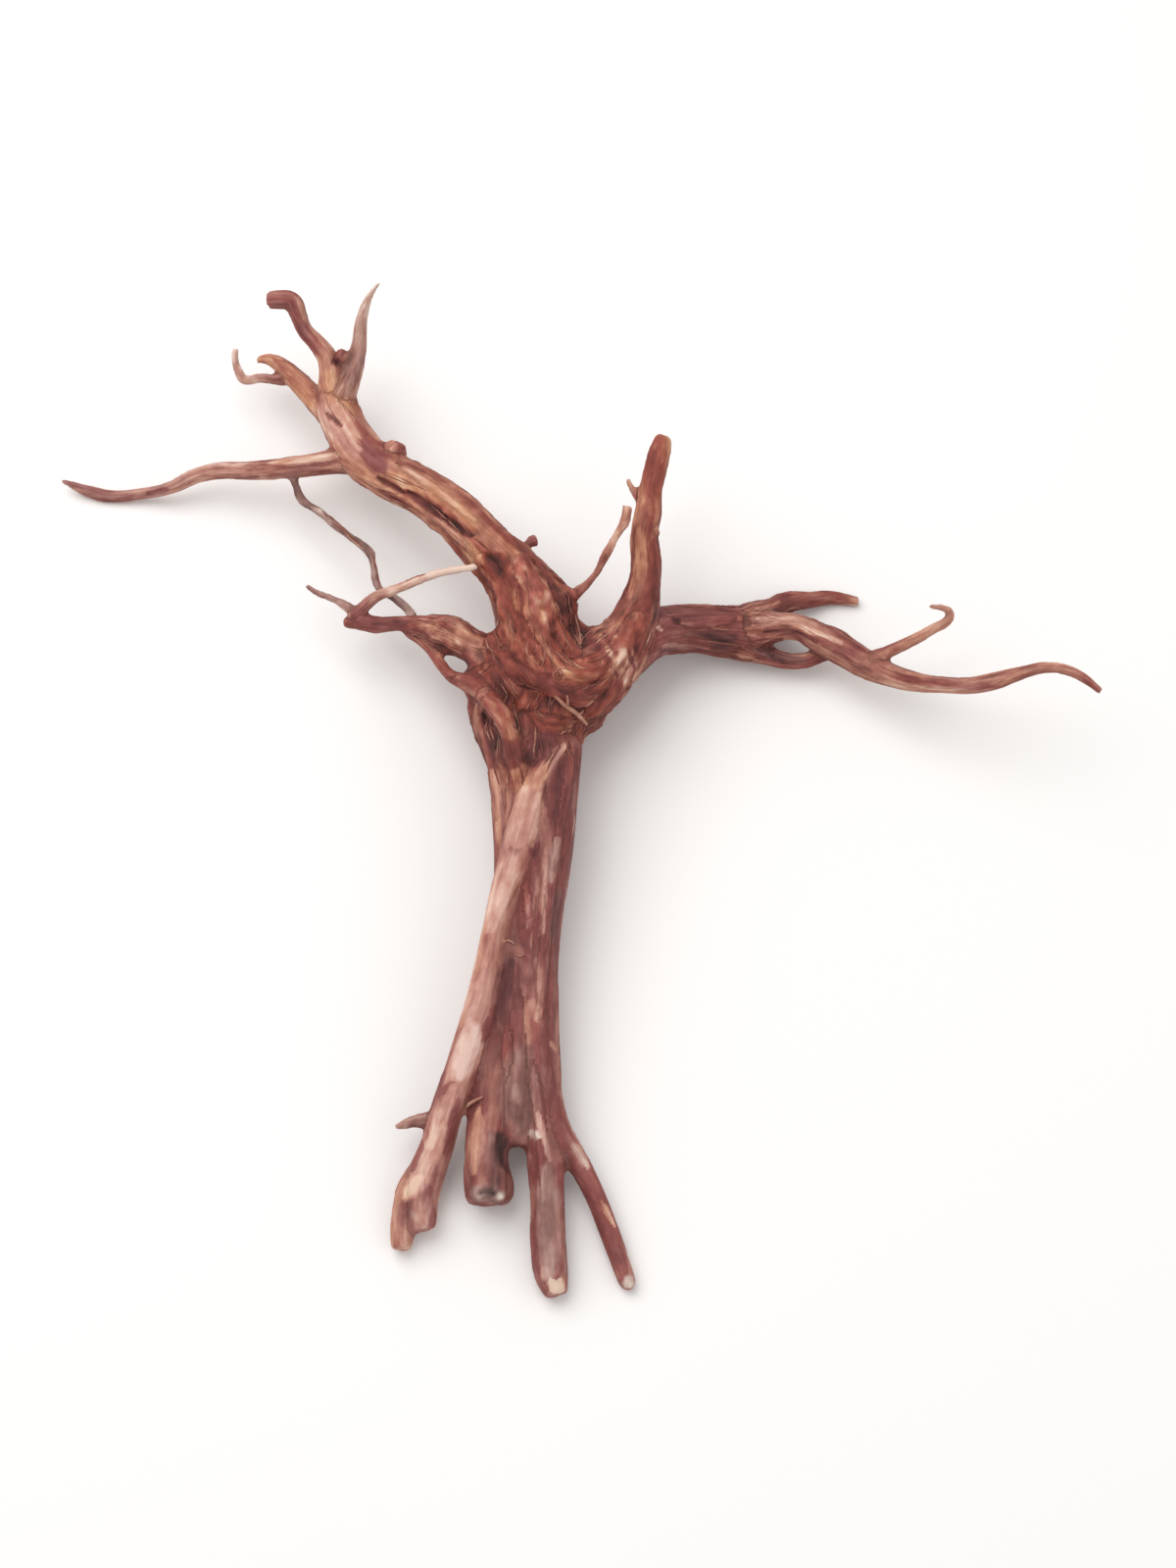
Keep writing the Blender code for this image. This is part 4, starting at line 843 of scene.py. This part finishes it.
# Loose fibres that follow the grain: where they are thickest and how far they stray (mm)
matting = {
    "seed": 11,
    "segments": 8,
    "lift": 0.1,                 # mm
    "rise": (-1.5, 3),           # how far they dip into the wood and stand off it, in lifts
    "radius": (0.3, 0.75),       # mm, at the middle
    "endShare": 0.25,            # of that radius, at the ends
    "turnKept": 0.8,             # share of the turn that goes on from one segment to the next
    "turnAdded": 0.4,
    "toneSpread": 0.13,
    # middle (across, up, height), spread, number, shortest and longest, tangle, tone
    "zones": [
        ((-30, 62, 60), (24, 22, 16), 190, (8, 24), 0.45, 0.5),
        ((-34, 104, 60), (14, 20, 14), 60, (8, 22), 0.35, 0.52),
        ((16, 82, 52), (12, 16, 12), 40, (8, 24), 0.3, 0.56),
        ((-45, 20, 50), (18, 14, 12), 40, (10, 26), 0.2, 0.38),
        ((-94, 102, 50), (12, 8, 6), 50, (8, 22), 0.2, 0.62),
        ((-45, -110, 40), (14, 60, 10), 12, (12, 30), 0.1, 0.5),
        ((110, 102, 24), (40, 12, 8), 60, (12, 36), 0.12, 0.5),
        ((-110, 196, 58), (40, 30, 12), 70, (14, 44), 0.1, 0.6),
    ],
}


def strayFibres(piece, flow):
    mesh = piece.data
    tree = skinTree(mesh)
    nearby = placeTree([vertex.co for vertex in mesh.vertices])
    draw = random.Random(matting["seed"])
    runs = []
    for middle, spread, count, lengths, tangle, tone in matting["zones"]:
        centre = placeAt(*middle)
        for _ in range(count):
            away = Vector([draw.gauss(0, size * mm) for size in spread])
            place, normal = tree.find_nearest(centre + away)[:2]
            length = draw.uniform(*lengths)
            steps = matting["segments"] + 1
            stride = length / matting["segments"] * mm
            heading = Vector(flow[nearby.find(place)[1]]) * draw.choice((-1, 1))
            turn = draw.gauss(0, tangle)
            places = []
            for i in range(steps):
                spot = place + normal * matting["lift"] * mm * draw.uniform(*matting["rise"])
                spot.z = max(spot.z, mm)
                places.append(spot)
                way = Vector(flow[nearby.find(place)[1]])
                if way.dot(heading) < 0:
                    way.negate()
                turn = matting["turnKept"] * turn + draw.gauss(0, tangle * matting["turnAdded"])
                heading = (way + normal.cross(way) * turn).normalized()
                place, normal = tree.find_nearest(place + heading * stride)[:2]
            thickest = draw.uniform(*matting["radius"])
            end = matting["endShare"]
            swell = [math.sin(math.pi * i / (steps - 1)) for i in range(steps)]
            radii = [thickest * (end + (1 - end) * part) for part in swell]
            shade = draw.gauss(tone, matting["toneSpread"])
            runs.append((places, radii, min(1, max(0, shade))))
    print("loose fibres:", len(runs))
    return splinesPiece("looseRootFibres", runs)


# Splinters that stand off the wood: across, up, height over the wood, radius (mm)
splinters = {
    "tone": 0.76,
    "runs": [
        [(-23, 60, -1, 1), (-16, 54, 1, 1.4), (-9, 48, 2.4, 1.5), (-3, 42.5, 3.4, 1)],
        [(-15, 53, 0.5, 0.9), (-14, 57, 2.6, 1), (-15, 60, 3.4, 0.6)],
        [(-10, 49, 1.6, 0.8), (-6, 49.5, 3.6, 0.7), (-2, 51, 4.4, 0.4)],
        [(-83, -220, 0, 0.9), (-77, -217, 3, 1), (-71, -213, 1, 0.7)],
        [(-58, -108, 0, 0.3), (-55, -106.5, 0.9, 0.5), (-52, -107.5, 1, 0.4), (-50, -109, 0.5, 0.25)],
        [(-50, -116, 0, 0.3), (-46, -117, 0.8, 0.45), (-43, -116, 0.4, 0.25)],
    ],
}


def brokenSplinters(piece, outline):
    tree = skinTree(piece.data)
    pieces = []
    for splinter in splinters["runs"]:
        places = [placeOn(tree, across, up, -lift * mm) for across, up, lift, radius in splinter]
        pieces.append(drawRoot("splinter", places, [stop[3] for stop in splinter], outline))
    joined = joinedPieces(pieces)
    giveAttribute(joined.data, "tone", np.full(len(joined.data.vertices), splinters["tone"]))
    joined.name = "brokenSplinters"
    bpy.ops.object.shade_smooth()
    joined.select_set(False)
    return joined


# Materials

def linear(hexColour):
    parts = [int(hexColour[i:i + 2], 16) / 255 for i in (1, 3, 5)]
    return tuple(c / 12.92 if c <= 0.04045 else ((c + 0.055) / 1.055) ** 2.4 for c in parts) + (1.0,)


def newMaterial(name):
    material = bpy.data.materials.new(name)
    material.use_nodes = True
    return material, material.node_tree.nodes["Principled BSDF"]


def addNode(tree, kind, settings=None, links=None):
    node = tree.nodes.new("ShaderNode" + kind)
    for name, value in (settings or {}).items():
        if isinstance(name, int) or name in node.inputs:
            node.inputs[name].default_value = value
        else:
            setattr(node, name, value)
    for name, socket in (links or {}).items():
        tree.links.new(socket, node.inputs[name])
    return node


def fillRamp(node, stops):
    ramp = node.color_ramp
    while len(ramp.elements) < len(stops):
        ramp.elements.new(0.5)
    for element, (place, colour) in zip(ramp.elements, stops):
        element.position = place
        element.color = linear(colour)


def weighted(tree, parts, base):
    total = None
    for socket, weight in parts:
        links = {0: socket} if total is None else {0: socket, 2: total}
        settings = {"operation": "MULTIPLY_ADD", 1: weight}
        if total is None:
            settings[2] = base
        total = addNode(tree, "Math", settings, links).outputs[0]
    return total


def grainNoise(tree, vector, across, along, seed, detail, roughness):
    mapping = addNode(tree, "Mapping",
                      {"Location": (seed, seed, seed), "Scale": (1 / across, 1 / across, 1 / along)},
                      {"Vector": vector})
    return addNode(tree, "TexNoise", {"Scale": 1.0, "Detail": detail, "Roughness": roughness},
                   {"Vector": mapping.outputs[0]}).outputs[0]


# Mangrove heartwood, stripped by hand and sun-dried: dull, streaked along the grain, with ragged patches of
# thin dark bark left on it, and painted darker in its hollows and creases as painted shade
def strippedMangrove(name):
    material, shader = newMaterial(name)
    tree = material.node_tree
    vector = addNode(tree, "Attribute", {"attribute_name": "grain"}).outputs["Vector"]
    reads = {key: addNode(tree, "Attribute", {"attribute_name": key}).outputs["Fac"]
             for key in ("bark", "pale", "warm", "grey", "hollow", "combed")}
    broad = grainNoise(tree, vector, 12, 60, 5, 3, 0.5)       # bands about 12 mm wide
    streak = grainNoise(tree, vector, 4, 36, 17, 4, 0.6)      # streaks about 4 mm wide
    fine = grainNoise(tree, vector, 1.2, 18, 29, 3, 0.6)      # single fibres, drawn 1.2 mm wide to show
    mottle = grainNoise(tree, vector, 7, 12, 61, 4, 0.6)      # blotches about 7 mm wide
    fleck = grainNoise(tree, vector, 2.0, 5, 43, 3, 0.6)      # ragged edges and small flecks
    lines = weighted(tree, [(streak, 0.8), (fine, 0.5)], -0.65)
    combed = addNode(tree, "Math", {"operation": "MULTIPLY"},
                     {0: lines, 1: reads["combed"]}).outputs[0]
    # Blotches and streaks of the wood, plus painted crease shade: darker where the skin lies in a hollow
    blotchesAndCreaseShade = weighted(tree, [(broad, 0.7), (mottle, 0.5), (combed, 1.0), (reads["hollow"], -0.20)], -0.60)
    woodShade = weighted(tree, [(reads["pale"], 1.0), (blotchesAndCreaseShade, 1.0)], 0.02)
    barkShade = weighted(tree, [(reads["pale"], 0.7), (blotchesAndCreaseShade, 0.9), (fleck, 0.3)], 0.03)
    warmth = weighted(tree, [(reads["warm"], 1.0), (broad, 1.0)], -0.5)
    coats = {}
    for coat, shade, cool, warm in (
            ("wood", woodShade, ["#3c1f1d", "#6b3e39", "#945c53", "#b98476", "#dbb6a9"],
             ["#3f1d13", "#733a25", "#9c5a40", "#bf8361", "#dcb899"]),
            ("bark", barkShade, ["#2a1110", "#532422", "#763b38", "#91534e", "#ae7069"],
             ["#2a0f0a", "#551e15", "#793224", "#964a38", "#b26753"])):
        ramps = []
        for colours in (cool, warm):
            ramp = addNode(tree, "ValToRGB", links={0: shade})
            fillRamp(ramp, [(0.25 * i, colour) for i, colour in enumerate(colours)])
            ramps.append(ramp.outputs[0])
        coats[coat] = addNode(tree, "Mix", {"data_type": "RGBA"},
                              {0: warmth, 6: ramps[0], 7: ramps[1]}).outputs[2]
    cover = weighted(tree, [(reads["bark"], 1.0), (fleck, 0.25), (fine, 0.15)], -0.20)
    left = addNode(tree, "MapRange", {"From Min": 0.34, "From Max": 0.64}, {"Value": cover}).outputs[0]
    body = addNode(tree, "Mix", {"data_type": "RGBA"},
                   {0: left, 6: coats["wood"], 7: coats["bark"]}).outputs[2]
    silver = addNode(tree, "ValToRGB", links={0: woodShade})
    fillRamp(silver, [(0.0, "#302522"), (0.3, "#6b504a"), (0.55, "#93776e"), (0.8, "#bea79c"),
                      (1.0, "#e4d8cc")])
    aged = addNode(tree, "Mix", {"data_type": "RGBA"},
                   {0: weighted(tree, [(reads["grey"], 0.8), (streak, 0.6)], -0.38), 6: body,
                    7: silver.outputs[0]}).outputs[2]
    tree.links.new(aged, shader.inputs["Base Color"])
    dull = weighted(tree, [(left, 0.1), (fine, 0.2)], 0.52)
    tree.links.new(dull, shader.inputs["Roughness"])
    shader.inputs["IOR"].default_value = 1.45
    shader.inputs["Metallic"].default_value = 0.0
    furrows = addNode(tree, "Math", {"operation": "MULTIPLY"},
                      {0: weighted(tree, [(streak, 0.5), (fine, 0.5)], -0.5), 1: reads["combed"]}).outputs[0]
    height = weighted(tree, [(furrows, 1.0), (fleck, 0.15), (left, 0.25)], 0.0)
    bump = addNode(tree, "Bump", {"Strength": 0.8, "Distance": 0.0013}, {"Height": height})
    tree.links.new(bump.outputs[0], shader.inputs["Normal"])
    return material


# A plain matt floor, pale so that the root's outline reads
def plainFloor(name):
    material, shader = newMaterial(name)
    shader.inputs["Base Color"].default_value = linear("#f2f0ee")
    shader.inputs["Roughness"].default_value = 0.9
    shader.inputs["Specular IOR Level"].default_value = 0.2
    return material


# Thin root fibres, dried and bleached at their ends: dull and a little paler than the wood they lie on
def driedFibre(name):
    material, shader = newMaterial(name)
    tree = material.node_tree
    place = addNode(tree, "TexCoord").outputs["Object"]
    tone = addNode(tree, "Attribute", {"attribute_name": "tone"}).outputs["Fac"]
    blotch = addNode(tree, "TexNoise", {"Scale": 120.0, "Detail": 3.0},
                     {"Vector": place}).outputs[0]      # blotches about 8 mm wide
    shade = weighted(tree, [(tone, 1.0), (blotch, 0.7)], -0.35)
    ramp = addNode(tree, "ValToRGB", links={0: shade})
    fillRamp(ramp, [(0.0, "#381a15"), (0.3, "#6b372e"), (0.55, "#8f5547"), (0.8, "#b98672"),
                    (1.0, "#dbbdaa")])
    tree.links.new(ramp.outputs[0], shader.inputs["Base Color"])
    shader.inputs["Roughness"].default_value = 0.75
    shader.inputs["IOR"].default_value = 1.45
    bump = addNode(tree, "Bump", {"Strength": 0.5, "Distance": 0.0005}, {"Height": blotch})
    tree.links.new(bump.outputs[0], shader.inputs["Normal"])
    return material


rootPiece, strands, thinOutline = makeRoot()
rootPiece.name = "mangroveRootWood"
rootPiece.data.name = "mangroveRootWood"
grainFlow = weather(rootPiece, strands)
rootPiece.data.materials.clear()
rootPiece.data.materials.append(strippedMangrove("strippedMangroveWood"))
fibreMaterial = driedFibre("driedRootFibre")
fibrePiece = strayFibres(rootPiece, grainFlow)
splinterPiece = brokenSplinters(rootPiece, thinOutline)
bpy.data.objects.remove(thinOutline)
for piece in (fibrePiece, splinterPiece):
    piece.data.materials.clear()
    piece.data.materials.append(fibreMaterial)

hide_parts("mangrove_root")
for piece in (rootPiece, fibrePiece, splinterPiece):
    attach(piece, "root")

# The studio: a pale floor, a big soft light from the upper left, a weak one from the right, a pale room
studio = {
    "floorSize": 8.0,
    "key": {"place": (-1.0, 0.9, 2.1), "size": 2.4, "power": 44.0},
    "fill": {"place": (1.6, -0.9, 1.5), "size": 2.0, "power": 8.0},
    "room": 0.66,
}

bpy.ops.mesh.primitive_plane_add(size=studio["floorSize"], location=(0, 0, -0.0002))
floor = bpy.context.object
floor.name = "paleFloor"
floor.data.materials.append(plainFloor("mattPaleFloor"))

for key in ("key", "fill"):
    lamp = studio[key]
    bpy.ops.object.light_add(type="AREA", location=lamp["place"])
    light = bpy.context.object
    light.name = key + "Light"
    light.data.size = lamp["size"]
    light.data.energy = lamp["power"]
    light.rotation_euler = (-Vector(lamp["place"])).to_track_quat("-Z", "Y").to_euler()

world = bpy.data.worlds.new("paleRoom")
bpy.context.scene.world = world
world.use_nodes = True
world.node_tree.nodes["Background"].inputs[0].default_value = linear("#ffffff")
world.node_tree.nodes["Background"].inputs[1].default_value = studio["room"]
bpy.context.scene.view_settings.view_transform = "Standard"

bpy.ops.object.camera_add(location=inPart(eye()))
camera = bpy.context.object
camera.rotation_euler = (inPart(Vector((0, 0, 0))) - inPart(eye())).to_track_quat("-Z", "Y").to_euler()
camera.data.sensor_fit = "HORIZONTAL"
camera.data.sensor_width = view["sensor"]
camera.data.lens = view["sensor"] * view["distance"] / view["frameWidth"]
camera.data.clip_end = 20.0
bpy.context.scene.camera = camera
print("studio ready")
